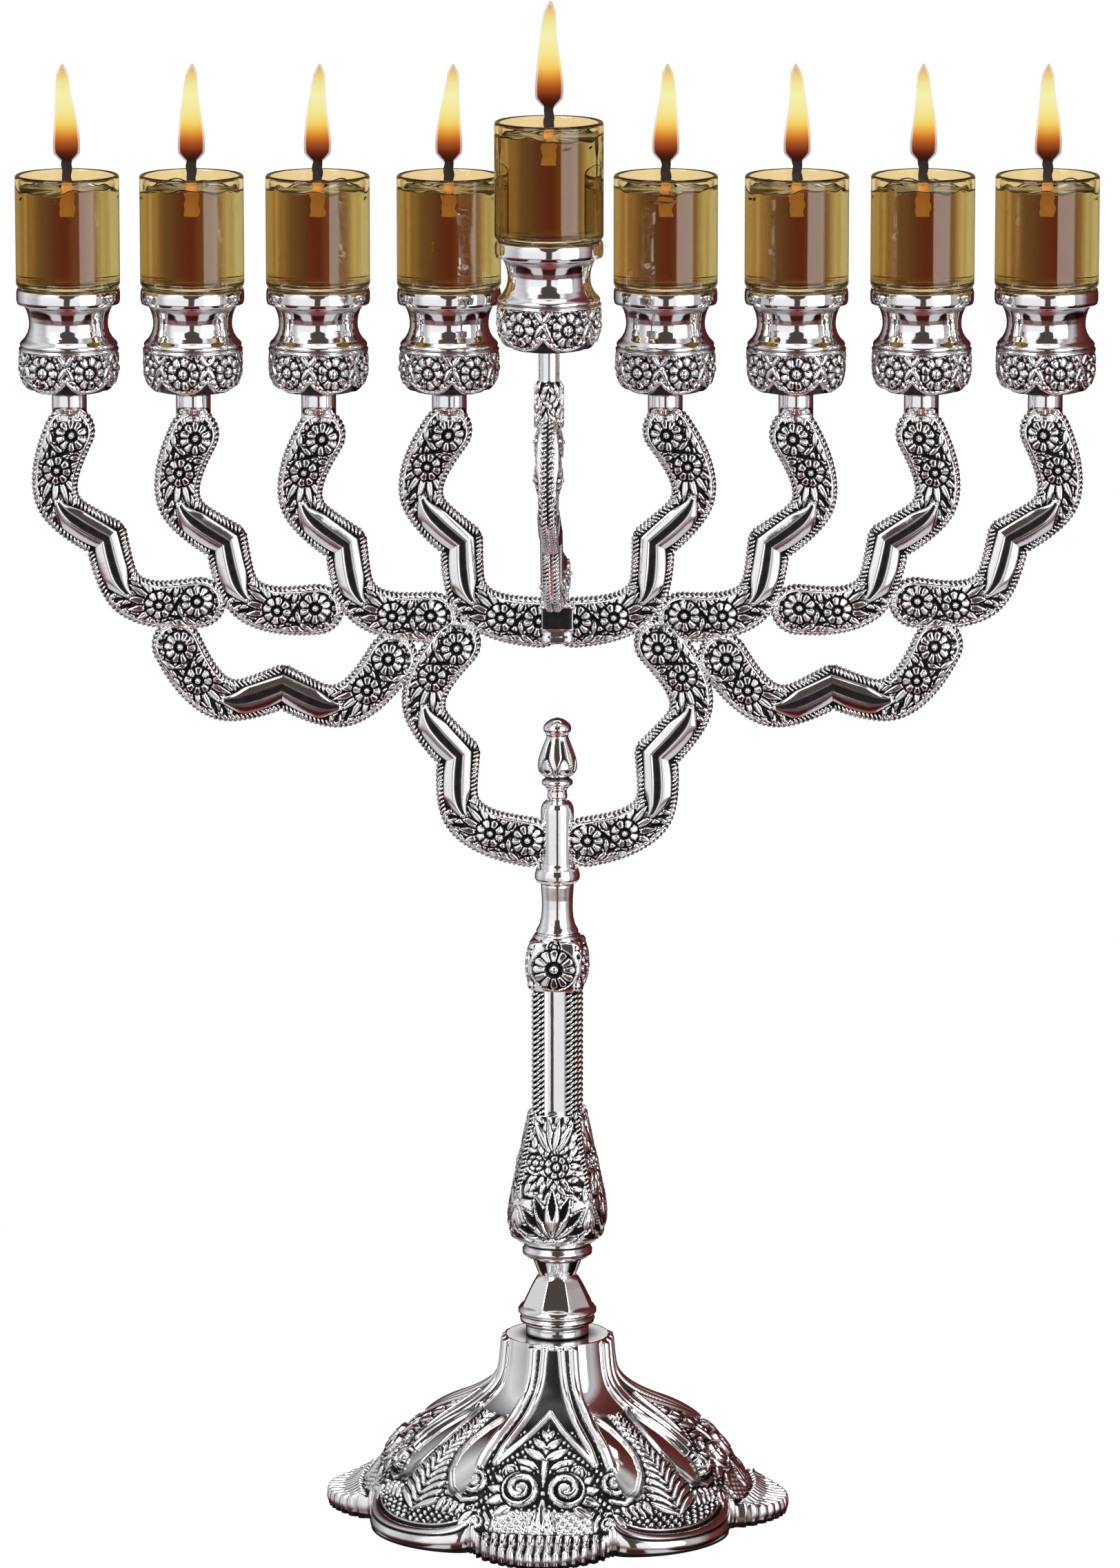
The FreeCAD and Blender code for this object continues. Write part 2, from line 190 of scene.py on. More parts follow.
def flame_material(name, stops, cover):
    """A glowing layer coloured by its height; cover is how much it hides what is behind."""
    material, tree, shader = new_material(name)
    tree.nodes.remove(shader)
    glow = tree.add("Emission", Strength=1, Color=tree.ramp(tree.attribute("rise"), stops))
    mix = tree.add("MixShader", Fac=cover)
    tree.feed(mix.inputs[1], tree.add("BsdfTransparent").outputs["BSDF"])
    tree.feed(mix.inputs[2], glow.outputs["Emission"])
    tree.feed(tree.nodes["Material Output"].inputs["Surface"], mix.outputs["Shader"])
    return material


SILVER = silver_material()
STEEL = steel_material()
GLASS = new_material("clear_glass", Base_Color=(0.98, 0.93, 0.8, 1), Transmission_Weight=1, IOR=1.5,
    Specular_IOR_Level=0.8, Roughness=0)[0]
OIL = oil_material()
WICK = wick_material()
# The flame's colours from its base to its tip, in its core and in the thin layer round it
CORE_STOPS = [(0, (0.01, 0.004, 0.003)), (0.07, (0.02, 0.007, 0.004)), (0.13, (0.14, 0.022, 0.008)),
    (0.2, (0.37, 0.07, 0.015)), (0.27, (0.65, 0.19, 0.02)), (0.34, (0.9, 0.43, 0.06)),
    (0.41, (0.93, 0.74, 0.17)), (0.5, (0.95, 0.88, 0.33)), (0.65, (0.95, 0.94, 0.5)),
    (0.8, (0.93, 0.88, 0.38)), (0.9, (0.88, 0.62, 0.2)), (1, (0.6, 0.32, 0.1))]
EDGE_STOPS = [(0, (0.03, 0.006, 0.004)), (0.12, (0.16, 0.025, 0.008)), (0.24, (0.5, 0.13, 0.02)),
    (0.38, (0.85, 0.52, 0.1)), (0.7, (0.86, 0.78, 0.3)), (0.9, (0.75, 0.5, 0.16)), (1, (0.5, 0.25, 0.08))]
FLAME_CORE = flame_material("flame_core", CORE_STOPS, 1)
FLAME_EDGE = flame_material("flame_edge", EDGE_STOPS, 0.38)


# ---- Mesh helpers ----

class Shell:
    """Gathers points in millimetres, faces and one value per point, and makes one mesh of them."""

    def __init__(self):
        self.points = []
        self.values = []
        self.faces = []
        self.count = 0

    def add(self, points, faces, values=0):
        points = np.asarray(points, float).reshape(-1, 3)
        self.points.append(points)
        self.values.append(np.broadcast_to(np.asarray(values, float).ravel(), (len(points),)))
        self.faces.append(np.asarray(faces, int) + self.count)
        self.count += len(points)

    def mesh(self, name, material, channel="recess"):
        points = np.concatenate(self.points) * MM
        corners = np.concatenate([faces.ravel() for faces in self.faces])
        sizes = np.concatenate([np.full(len(faces), faces.shape[1]) for faces in self.faces])
        mesh = bpy.data.meshes.new(name)
        mesh.vertices.add(len(points))
        mesh.vertices.foreach_set("co", points.ravel())
        mesh.loops.add(len(corners))
        mesh.loops.foreach_set("vertex_index", corners.astype(np.int32))
        mesh.polygons.add(len(sizes))
        starts = np.concatenate([[0], np.cumsum(sizes)[:-1]])
        mesh.polygons.foreach_set("loop_start", starts.astype(np.int32))
        mesh.update(calc_edges=True)
        values = mesh.attributes.new(channel, "FLOAT", "POINT")
        values.data.foreach_set("value", np.concatenate(self.values).astype(np.float32))
        work = bmesh.new()
        work.from_mesh(mesh)
        bmesh.ops.remove_doubles(work, verts=work.verts, dist=2e-6)
        bmesh.ops.dissolve_degenerate(work, edges=work.edges, dist=1e-6)
        bmesh.ops.recalc_face_normals(work, faces=work.faces)
        work.to_mesh(mesh)
        work.free()
        mesh.shade_smooth()
        mesh.materials.append(material)
        return mesh


def grid_faces(rows, columns, wrap=False):
    """Quads of a grid whose points are stored row by row; wrap joins the last column to the first."""
    row = np.arange(rows - 1)[:, None]
    column = np.arange(columns if wrap else columns - 1)[None, :]
    following = (column + 1) % columns
    corners = [row * columns + column, row * columns + following, (row + 1) * columns + following,
        (row + 1) * columns + column]
    return np.stack(np.broadcast_arrays(*corners), -1).reshape(-1, 4)


def place(name, mesh, body, nodes, slot_name, matrix=None):
    """Put a piece in the frame, riding on its body and standing for its CAD nodes."""
    piece = bpy.data.objects.new(name, mesh)
    bpy.context.scene.collection.objects.link(piece)
    if matrix is not None:
        piece.matrix_world = matrix
    bpy.context.view_layer.update()
    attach(piece, body)
    if nodes:
        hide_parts(*nodes)


def place_silver(name, mesh, node, matrix=None):
    """Put a piece of the silver stand in place of its CAD node."""
    place(name, mesh, "stand", [node], "silver", matrix)


def turned_about_z(degrees):
    return Matrix.Rotation(math.radians(degrees), 4, "Z")


def steps(value, low, high):
    """Smooth 0 to 1 as value goes from low to high."""
    share = np.clip((value - low) / (high - low), 0, 1)
    return share * share * (3 - 2 * share)


def between(value, rise, full, fall, end):
    """Smooth 0 to 1 from rise to full, and back to 0 from fall to end."""
    return steps(value, rise, full) * (1 - steps(value, fall, end))


def spline(knots, points, at):
    """Natural cubic spline through points at the given knots."""
    knots = np.asarray(knots, float)
    points = np.asarray(points, float)
    count = len(knots)
    gap = np.diff(knots)
    matrix = np.eye(count)
    right = np.zeros((count, points.shape[1]))
    for i in range(1, count - 1):
        matrix[i, i - 1:i + 2] = gap[i - 1], 2 * (gap[i - 1] + gap[i]), gap[i]
        right[i] = 6 * ((points[i + 1] - points[i]) / gap[i] - (points[i] - points[i - 1]) / gap[i - 1])
    bend = np.linalg.solve(matrix, right)
    at = np.asarray(at, float)
    i = np.clip(np.searchsorted(knots, at) - 1, 0, count - 2)
    h = gap[i][:, None]
    a = (knots[i + 1] - at)[:, None]
    b = (at - knots[i])[:, None]
    cubic = (bend[i] * a ** 3 + bend[i + 1] * b ** 3) / (6 * h)
    return cubic + (points[i] / h - bend[i] * h / 6) * a + (points[i + 1] / h - bend[i + 1] * h / 6) * b


def run_lengths(points):
    """Length along a line of points, at each of them."""
    return np.concatenate([[0], np.cumsum(np.hypot(*np.diff(points, axis=0).T))])


def smooth_profile(points, count):
    """A (radius, height) outline through the points, resampled evenly by length."""
    knots = run_lengths(points)
    return spline(knots, points, np.linspace(0, knots[-1], count))


def straight_profile(points, spacing=0.25):
    """A (radius, height) outline of straight runs, resampled finely; corners stay."""
    outline = [np.asarray(points[0], float)]
    for start, end in zip(points[:-1], points[1:]):
        start, end = np.asarray(start, float), np.asarray(end, float)
        count = max(1, int(math.hypot(*(end - start)) / spacing))
        for step in range(1, count + 1):
            outline.append(start + (end - start) * step / count)
    return np.array(outline)


def round_turn(columns):
    """One row of angles round a full turn."""
    return np.linspace(0, 2 * math.pi, columns, endpoint=False)[None, :]


def grids(outline, columns):
    """Radius and height of an outline, each as a grid of rows down it and columns round it."""
    return np.repeat(outline[:, :1], columns, 1), np.repeat(outline[:, 1:], columns, 1)


def lathe(radius, height, recess, x=0, y=0, shell=None):
    """A closed turned surface from grids of radius and height (rows down the outline, columns round)."""
    shell = shell or Shell()
    rows, columns = radius.shape
    angle = round_turn(columns)
    points = np.stack([x + radius * np.sin(angle), y - radius * np.cos(angle),
        np.broadcast_to(height, radius.shape)], -1)
    shell.add(points, grid_faces(rows, columns, wrap=True), np.broadcast_to(recess, radius.shape))
    return shell


def turned_piece(outline, columns, x=0, y=0, z=0):
    """A plain turned solid; the outline starts and ends on the axis."""
    radius, height = grids(outline, columns)
    return lathe(radius, height + z, 0, x, y)


# ---- Relief ornament: every function gives heights in millimetres over a flat place (x, y) ----

def leaf(x, y, root, tip, half_width, height):
    """A pointed leaf with a grooved midrib."""
    run = (tip[0] - root[0], tip[1] - root[1])
    length = math.hypot(*run)
    along = ((x - root[0]) * run[0] + (y - root[1]) * run[1]) / length ** 2
    across = ((y - root[1]) * run[0] - (x - root[0]) * run[1]) / length
    inside = np.clip(along, 0, 1)
    outline = half_width * np.sin(math.pi * inside ** 0.8) + 1e-6
    share = np.clip(np.abs(across) / outline, 0, 1)
    body = height * np.sqrt(1 - share ** 2) * ((along > 0) & (along < 1))
    return body * (1 - 0.3 * np.exp(-(across / (0.22 * half_width)) ** 2))


def flower(x, y, centre, reach, petals, height, ball):
    """A daisy: a ball in a dark ring, with petals round it."""
    dx, dy = x - centre[0], y - centre[1]
    r = np.hypot(dx, dy)
    wave = np.abs(np.cos(petals * np.arctan2(dy, dx) / 2))
    edge = reach * (0.8 + 0.2 * wave ** 0.6)
    hollow = 1.1 * ball + 0.14 * reach
    ring = steps(r, hollow, hollow + 0.08 * reach) * (1 - steps(r, edge - 0.25, edge))
    petal = height * ring * steps(wave, 0.2, 0.52) * (1 - 0.2 * (r / reach))
    dome = 1.2 * height * np.sqrt(np.clip(1 - (r / (1.1 * ball)) ** 2, 0, 1))
    return np.maximum(petal, dome)


def add_flower(relief, x, y, centre, reach, petals, height, ball):
    """Lay a daisy over the relief, with a thin black line round it."""
    covered = np.hypot(x - centre[0], y - centre[1]) < reach + 0.25
    return np.where(covered, flower(x, y, centre, reach, petals, height, ball), relief)


def add_leaf(relief, x, y, root, tip, half_width, height, line=0.22):
    """Lay a leaf over the relief, with a thin black line round it."""
    run = np.array([tip[0] - root[0], tip[1] - root[1]])
    run = run / np.hypot(*run) * line
    covered = leaf(x, y, (root[0] - run[0], root[1] - run[1]), (tip[0] + run[0], tip[1] + run[1]),
        half_width + line, 1) > 0
    return np.where(covered, leaf(x, y, root, tip, half_width, height), relief)


def foliage(x, y, inside, spacing, length, half_width, height, seed, centres):
    """Small leaves laid over each other wherever inside is true, spreading from the nearest centre."""
    chance = np.random.default_rng(seed)
    relief = np.zeros_like(x)
    across = np.arange(x[inside].min(), x[inside].max(), spacing)
    down = np.arange(y[inside].min(), y[inside].max(), spacing * 0.87)
    for row, y0 in enumerate(down):
        for x0 in across:
            cx = x0 + (row % 2) * spacing / 2 + chance.uniform(-0.2, 0.2) * spacing
            cy = y0 + chance.uniform(-0.2, 0.2) * spacing
            px, py = min(centres, key=lambda c: (c[0] - cx) ** 2 + (c[1] - cy) ** 2)
            heading = math.atan2(cy - py, cx - px) + chance.uniform(-0.7, 0.7)
            near = (np.abs(x - cx) < length) & (np.abs(y - cy) < length) & inside
            if near.any():
                dx, dy = length / 2 * math.cos(heading), length / 2 * math.sin(heading)
                relief[near] = add_leaf(relief[near], x[near], y[near], (cx - dx, cy - dy),
                    (cx + dx, cy + dy), half_width, height)
    return relief


def volute(x, y, centre, reach, height, hand):
    """A round scroll end: a dome with a deep spiral groove round a ball."""
    dx, dy = x - centre[0], y - centre[1]
    r = np.hypot(dx, dy)
    spiral = np.cos(2 * math.pi * r / (0.5 * reach) - hand * np.arctan2(dy, dx))
    dome = np.sqrt(np.clip(1 - (r / reach) ** 4, 0, 1))
    ridge = np.maximum(steps(spiral, -0.55, 0.15), 1 - steps(r, 0.2 * reach, 0.26 * reach))
    return height * dome * (0.05 + 0.95 * ridge)


def band(distance, half_width, height):
    """A half-round moulding at that distance from its middle line."""
    return height * np.sqrt(np.clip(1 - (distance / half_width) ** 2, 0, 1))


def darken(height, low, high):
    """Recess value: black where the relief is below low, bright above high."""
    return 1 - steps(height, low, high)


# ---- Arm casting, local (u, v): the kink at the origin, u along the arm, v towards the hollow side ----

ARM_FLOWER_END = (28.2, 9.3)
ARM_FLOWER_INNER = (22.9, 0.4)
ARM_END_CENTRE = (29.1, 9.2)
ARM_END_RADIUS = 6.4
ARM_END_DIRECTION = (0.512, 0.859)
ARM_STATIONS = [0, 8.3, 16, 25.2, 35.6]
ARM_OUTER_EDGE = [(0, -6.2), (6, -8.6), (16.4, -10.1), (27.4, -3.8)]
ARM_INNER_EDGE = [(0, 5.5), (9, 1.4), (13.9, 0.4), (18.7, 4.3)]
# Share of each edge's points that lie on its curve; the rest go round the tip
ARM_BODY = 0.84
ARM_GROUND = 1.75
ARM_ROPE_END = 17


def arm_edges(share):
    """Points on the outer and the inner edge for shares 0 (kink) to 1 (tip)."""
    along, across = ARM_END_DIRECTION
    centre = np.array(ARM_END_CENTRE)
    side = np.array([across, -along])
    forward = np.array([along, across])
    outer_end = centre + ARM_END_RADIUS * side
    inner_end = centre - ARM_END_RADIUS * side
    station = np.clip(share / ARM_BODY, 0, 1) * ARM_STATIONS[-1]
    outer = spline(ARM_STATIONS, ARM_OUTER_EDGE + [tuple(outer_end)], station)
    inner = spline(ARM_STATIONS, ARM_INNER_EDGE + [tuple(inner_end)], station)
    turn = (np.clip((share - ARM_BODY) / (1 - ARM_BODY), 0, 1) * math.pi / 2)[:, None]
    cap = share[:, None] > ARM_BODY
    outer = np.where(cap, centre + ARM_END_RADIUS * (np.cos(turn) * side + np.sin(turn) * forward), outer)
    inner = np.where(cap, centre + ARM_END_RADIUS * (-np.cos(turn) * side + np.sin(turn) * forward), inner)
    return outer, inner


def arm_relief(u, v, middle, edge):
    """Relief, padding under the flowers and the ridge's groove, painted black as a painted reflection, on
    one face, at places (u, v).

    middle is the distance from the arm's middle line, and edge that from its nearest edge.
    """
    centres = (ARM_FLOWER_END, ARM_FLOWER_INNER)
    relief = foliage(u, v, u > 12.5, 2.5, 4.2, 0.85, 0.8, 4, centres)
    fx, fy = ARM_FLOWER_INNER
    heading = math.atan2(-5.1, -7.8)
    for spread, reach in ((-62, 7), (54, 7.4), (-36, 8.6), (30, 9), (-14, 10), (8, 10.2)):
        du, dv = math.cos(heading + math.radians(spread)), math.sin(heading + math.radians(spread))
        root, tip = (fx + 2.3 * du, fy + 2.3 * dv), (fx + reach * du, fy + reach * dv)
        relief = add_leaf(relief, u, v, root, tip, 1.05, 1, 0.32)
    for root, tip in (((27.6, -1.6), (30.4, 1.9)), ((28.6, 1), (32, 3.6)), ((29.4, 3.2), (33.2, 5.4)),
            ((26, 4.6), (29.6, 3.4)), ((23.6, 5.2), (21.4, 8)), ((24.6, -3.2), (26.8, -4.6))):
        relief = add_leaf(relief, u, v, root, tip, 0.85, 0.9, 0.3)
    relief = add_flower(relief, u, v, ARM_FLOWER_INNER, 3.9, 8, 1.5, 0.92)
    relief = add_flower(relief, u, v, ARM_FLOWER_END, 4.4, 10, 1.5, 0.95)
    narrowing = 1 - 0.72 * steps(u, 9, 17)
    ridge = band(middle, 3.9 * narrowing, 1.35) * (1 - steps(u, 15.6, 17.6))
    # The ridge's shallow groove is also painted black: a painted reflection of a dark line along the crest.
    groove_painted_dark = 1 - steps(np.abs(middle - 0.2) / narrowing, 0.55, 1.55)
    ridge = np.maximum(ridge - 0.3 * groove_painted_dark, 0)
    relief = np.where(np.abs(middle) < (4.15 * narrowing) * (u < 16.9), ridge, relief)
    rim = band(edge - 0.75, 0.6, 0.75) * steps(u, 15.5, 18)
    relief = np.maximum(relief, rim)
    pad = 0.75 * (1 - steps(np.hypot(u - 25.8, v - 5.2), 5, 9.5))
    return relief, pad, groove_painted_dark * (u < 15.6)


def rope(shell, route, out, radius, pitch):
    """A rope of two twisted strands along route (points in mm); out is the direction it faces."""
    sides = 6
    route = np.asarray(route, float)
    length = np.concatenate([[0], np.cumsum(np.linalg.norm(np.diff(route, axis=0), axis=1))])
    count = int(length[-1] / 0.25)
    at = np.linspace(0, length[-1], count)
    centre = np.stack([np.interp(at, length, route[:, axis]) for axis in range(3)], -1)
    forward = np.gradient(centre, axis=0)
    forward /= np.linalg.norm(forward, axis=1)[:, None]
    side = np.cross(np.broadcast_to(np.asarray(out, float), centre.shape), forward)
    side /= np.linalg.norm(side, axis=1)[:, None]
    up = np.cross(forward, side)
    taper = np.minimum(1, np.minimum(np.arange(count), np.arange(count)[::-1]) / 4 + 0.15)
    angle = 2 * math.pi * np.arange(sides) / sides
    ring = np.cos(angle)[None, :, None] * side[:, None, :] + np.sin(angle)[None, :, None] * up[:, None, :]
    for strand in range(2):
        phase = (2 * math.pi * at / pitch + math.pi * strand)[:, None]
        middle = centre + 0.46 * radius * (np.cos(phase) * side + np.sin(phase) * up)
        points = middle[:, None, :] + 0.6 * radius * taper[:, None, None] * ring
        distance = np.linalg.norm(points - centre[:, None, :], axis=2)
        values = 1 - steps(distance / radius, 0.62, 0.92)
        shell.add(points, grid_faces(count, sides, wrap=True), values)
        for end in (0, count - 1):
            shell.add(points[end], np.arange(sides)[None, :], values[end])


def blade(shell, root, tip, width, thickness, out):
    """A small solid leaf between two points, its broad side facing out."""
    rows, columns = 9, 8
    root, tip, out = np.array(root, float), np.array(tip, float), np.array(out, float)
    forward = (tip - root) / np.linalg.norm(tip - root)
    side = np.cross(out, forward)
    side /= np.linalg.norm(side)
    up = np.cross(forward, side)
    share = np.linspace(0, 1, rows)[:, None]
    swell = np.sin(math.pi * share ** 0.8)
    angle = np.linspace(0, 2 * math.pi, columns, endpoint=False)[None, :]
    spread = (swell * np.cos(angle) * width)[..., None] * side
    rise = (swell * np.sin(angle) * thickness)[..., None] * up
    points = root + share[..., None] * (tip - root) + spread + rise
    shell.add(points, grid_faces(rows, columns, wrap=True), 0.12 * (1 - swell) * np.ones(columns))


def edge_leaves(shell, outer, inner):
    """Slanting leaves round the narrow edge of each flowered end."""
    for line, other, first in ((outer, inner, 17), (inner, outer, 19)):
        run = run_lengths(line)
        start = run[np.argmax(line[:, 0] > first)]
        for at in np.arange(start, run[-1] - 1, 1.9):
            here = np.array([np.interp(at, run, line[:, axis]) for axis in (0, 1)])
            ahead = np.array([np.interp(at + 2.6, run, line[:, axis]) for axis in (0, 1)])
            across = np.array([np.interp(at, run, other[:, axis]) for axis in (0, 1)])
            inward = (across - here) / max(np.hypot(*(across - here)), 1e-6)
            here, ahead = here + 0.5 * inward, ahead + 0.5 * inward
            for end in (1, -1):
                for face in (1, -1):
                    root = (here[1], face * 0.2, end * here[0])
                    tip = (ahead[1], face * 2.3, end * ahead[0])
                    blade(shell, root, tip, 0.6, 0.55, (-inward[1], 0, -end * inward[0]))


def arm_shell():
    """The whole casting: both faces have the relief, and two ropes run along each side of each border."""
    share = np.linspace(0, 1, 190)
    outer, inner = arm_edges(share)
    columns = 62
    across = 0.5 - 0.5 * np.cos(np.linspace(0, math.pi, columns))
    across = 0.45 * across + 0.55 * np.linspace(0, 1, columns)
    plan = outer[:, None, :] + (inner - outer)[:, None, :] * across[None, :, None]
    u, v = plan[..., 0], plan[..., 1]
    width = np.hypot(*(inner - outer).T)[:, None]
    middle = (across[None, :] - 0.5) * width
    tip_distance = ARM_END_RADIUS - np.hypot(u - ARM_END_CENTRE[0], v - ARM_END_CENTRE[1])
    edge = np.where(share[:, None] > ARM_BODY, tip_distance, width / 2 - np.abs(middle))
    relief, pad, groove_painted_dark = arm_relief(u, v, middle, edge)
    fade = steps(edge, 0, 0.9)
    dome = np.sqrt(np.clip(1 - (1 - np.clip(edge / 1.6, 0, 1)) ** 2.2, 0, 1))
    depth = ARM_GROUND * dome + (relief + pad) * fade
    # Besides the relief's oxide, the ridge's groove is painted dark as a painted reflection.
    recess = np.maximum(darken(relief, 0.22, 0.78) * steps(edge, 0.35, 0.8), 0.85 * groove_painted_dark)
    # The flowered end's outermost edge is painted dark: painted shade along its rim.
    recess = np.maximum(recess, 0.8 * (1 - steps(edge, 0.2, 0.5)) * steps(u, 15, 18))
    shell = Shell()
    for end in (1, -1):
        for face in (1, -1):
            points = np.stack([v, face * depth, end * u], -1)
            shell.add(points, grid_faces(*u.shape), recess)
    edge_leaves(shell, outer, inner)
    for line, toward in ((outer, inner), (inner, outer)):
        run = toward - line
        run /= np.maximum(np.hypot(*run.T), 1e-6)[:, None]
        border = (line + 0.85 * run)[(line[:, 0] < ARM_ROPE_END) & (share < ARM_BODY)]
        edge_line = (line + 0.55 * run)[:-1]
        for end in (1, -1):
            for face in (1, -1):
                for path, depth, radius, pitch in ((border, 1.35, 0.95, 2.3), (edge_line, 0.95, 1, 2.6)):
                    route = np.stack([path[:, 1], np.full(len(path), face * depth), end * path[:, 0]], -1)
                    rope(shell, route, (0, 1, 0), radius, pitch)
    return shell


def cad_extent(node):
    low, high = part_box(node)
    return np.array(low) / MM, np.array(high) / MM


# Lean of each left-hand arm from upright in degrees; its partner on the right is turned half round
LEANS = {"branch_1": 36.5, "branch_2": 34.6, "branch_3": 31.1, "branch_4": 25.7, "cradle_left": 86.6,
    "lower_arm_left": 19.8}
PARTNERS = {"branch_1": "branch_8", "branch_2": "branch_7", "branch_3": "branch_6", "branch_4": "branch_5",
    "cradle_left": "cradle_right", "lower_arm_left": "lower_arm_right"}
SHAMASH_LEAN = 42
SHAMASH_TURN = -3


def leaning_extent(lean):
    """Extent of the casting's outline in x and z once it leans, with its kink at the origin."""
    outer, inner = arm_edges(np.linspace(0, 1, 400))
    outline = np.concatenate([outer, inner])
    outline = np.concatenate([outline, outline * np.array([-1, 1])])
    a = math.radians(lean)
    x = outline[:, 1] * math.cos(a) - outline[:, 0] * math.sin(a)
    z = outline[:, 1] * math.sin(a) + outline[:, 0] * math.cos(a)
    return x.min(), x.max(), z.min(), z.max()


def leaning_arm(lean, x, z):
    """Placement of the casting with its kink at (x, z)."""
    return Matrix.Translation(Vector((x, 0, z)) * MM) @ Matrix.Rotation(math.radians(-lean), 4, "Y")


def make_arms():
    mesh = arm_shell().mesh("arm", SILVER)
    for node, lean in LEANS.items():
        x_low, _, z_low, z_high = leaning_extent(lean)
        low, high = cad_extent(node)
        z = high[2] - z_high if node.startswith("branch") else low[2] - z_low
        matrix = leaning_arm(lean, low[0] - x_low, z)
        place_silver(node + "_casting", mesh.copy(), node, matrix)
        partner = PARTNERS[node]
        place_silver(partner + "_casting", mesh.copy(), partner, turned_about_z(180) @ matrix)
    x_low, _, z_low, _ = leaning_extent(SHAMASH_LEAN)
    low, _ = cad_extent("shamash_branch")
    matrix = turned_about_z(90 + SHAMASH_TURN) @ leaning_arm(SHAMASH_LEAN, low[1] - x_low, low[2] - z_low)
    place_silver("shamash_branch_casting", mesh, "shamash_branch", matrix)


make_arms()


# ---- Cups: a plain lip over a step painted dark as shade, a waist, and a floral band of six lobes with a scalloped edge ----

# Radius and height above the cup's bottom, from the middle of the socket's floor round to the neck
CUP_OUTLINE = [(0, 14.5), (6.4, 14.5), (6.4, 28.2), (6.7, 28.5), (13.1, 28.5), (13.75, 28.1), (13.95, 27.2),
    (13.95, 25.2), (13.7, 24.3), (12.9, 24), (12.2, 23.9), (11.7, 23.2), (11.3, 22.4), (10.85, 21),
    (10.6, 19.4), (10.65, 17.8), (11.1, 16.2), (11.9, 14.8), (12.8, 13.9), (13.15, 13.4), (13.1, 12.8),
    (12.6, 12.4), (12.55, 9), (12.4, 5), (11.6, 2.4), (9.6, 0.5), (7, 0), (5.2, -0.3), (5.2, -7.6),
    (4.6, -8), (0, -8)]
CUP_LOBES = 6
CUP_HEIGHT = 28.5
CUP_BAND_TOP = 12.4
CUP_BAND_RADIUS = 13
# Radius and length of the necks
CUP_NECK = (4.7, 8)
SHAMASH_NECK = (2.7, 19.9)
SHAMASH_SCALE = 1.03
# Degrees from the front to one of the cup's six flowers
CUP_TURNS = {"1": 29, "2": -10, "3": 20, "4": 34, "5": 23, "6": -1, "7": 16, "8": 15, "shamash": 23}


def cup_band(x, y, inside, border):
    """Relief of the floral band: x runs from a lobe's flower to half a lobe either way, y is the height."""
    half = CUP_BAND_RADIUS * math.pi / CUP_LOBES
    relief = foliage(x, y, inside, 2.4, 3.8, 0.95, 0.8, 11, ((0, 6.5),))
    for side in (-1, 1):
        for root_y, tip in ((8.6, (side * 4.3, 12)), (8.2, (side * 4.5, 4.6))):
            relief = add_leaf(relief, x, y, (side * half, root_y), tip, 0.8, 0.95)
    relief = add_flower(relief, x, y, (0, 6.6), 4.5, 9, 1.05, 1.25)
    relief = np.maximum.reduce([relief, band(y - border - 0.6, 0.6, 0.8), band(y - 11.9, 0.55, 0.8)])
    return np.where(inside, relief + 0.12, 0)


def cup_mesh(turn, shamash):
    """A cup above its neck; the shamash's neck has a sleeve of leaves, the others are flattened in Y."""
    neck_radius, neck_length = SHAMASH_NECK if shamash else CUP_NECK
    outline = [(min(r, neck_radius) if h < -0.2 and r > 0 else r, h) for r, h in CUP_OUTLINE]
    outline = [(r, h if h > -1 else h * neck_length / 8) for r, h in outline]
    outline = straight_profile(outline, 0.3)
    columns = 264
    angle = np.linspace(0, 360, columns, endpoint=False)
    lobe = 360 / CUP_LOBES
    x = (np.mod(angle - turn + lobe / 2, lobe) - lobe / 2) * math.radians(1) * CUP_BAND_RADIUS
    x = np.broadcast_to(x, (len(outline), columns))
    radius, y = grids(outline, columns)
    outside = np.arange(len(outline))[:, None] > np.argmax(outline[:, 1] > 28.4)
    border = 0.6 + 3.4 * np.abs(x / (CUP_BAND_RADIUS * math.pi / CUP_LOBES)) ** 2.6
    inside = (y > border) & (y < CUP_BAND_TOP) & outside
    relief = cup_band(x, y, inside, border)
    under = outside & (y <= border) & (y > -0.2)
    step = outside & (y > 22.6) & (y < 24.05) & (radius < 13.4)
    groove_painted_dark = outside & (y > 12.3) & (y < 12.75) & (radius < 13.1)
    recess = np.where(inside, darken(relief, 0.2, 0.62), 0)
    # Painted shade: the step under the lip, the cup's underside below the band and the undercut above the
    # band are darkened as shade.
    for area, shade in ((under, 0.75), (step, 0.4), (groove_painted_dark, 0.55)):
        recess = np.maximum(recess, np.where(area, shade, 0))
    radius = radius + np.where(under, -0.35, relief * 0.95)
    if shamash:
        sleeve = outside & (y < -8) & (radius > 2)
        across = np.broadcast_to(np.radians(angle) * 3.3, y.shape)
        leaves = foliage(across, y, sleeve, 2, 4.2, 0.75, 0.9, 3, ((10.4, -60),))
        radius = radius + np.where(sleeve, 0.4 + leaves * steps(-y, 8, 9.5), 0)
        recess = np.where(sleeve, darken(leaves, 0.15, 0.55), recess)
    shell = lathe(radius, y, recess)
    if not shamash:
        shell.points[0][:, 1] *= 1 - 0.5 * steps(-y.ravel(), 3.6, 6)
    return shell.mesh("cup", SILVER)


def make_cups():
    for label in LABELS:
        low, high = cad_extent("cup_" + label)
        shamash = label == "shamash"
        scale = SHAMASH_SCALE if shamash else 1
        mesh = cup_mesh(CUP_TURNS[label], shamash)
        centre = (low + high) / 2
        where = Vector((centre[0], centre[1], high[2] - CUP_HEIGHT * scale)) * MM
        place_silver("cup_" + label + "_chased", mesh, "cup_" + label,
            Matrix.Translation(where) @ Matrix.Scale(scale, 4))


make_cups()


# ---- Lights: glass with a peg, jelled oil, wick and flame ----

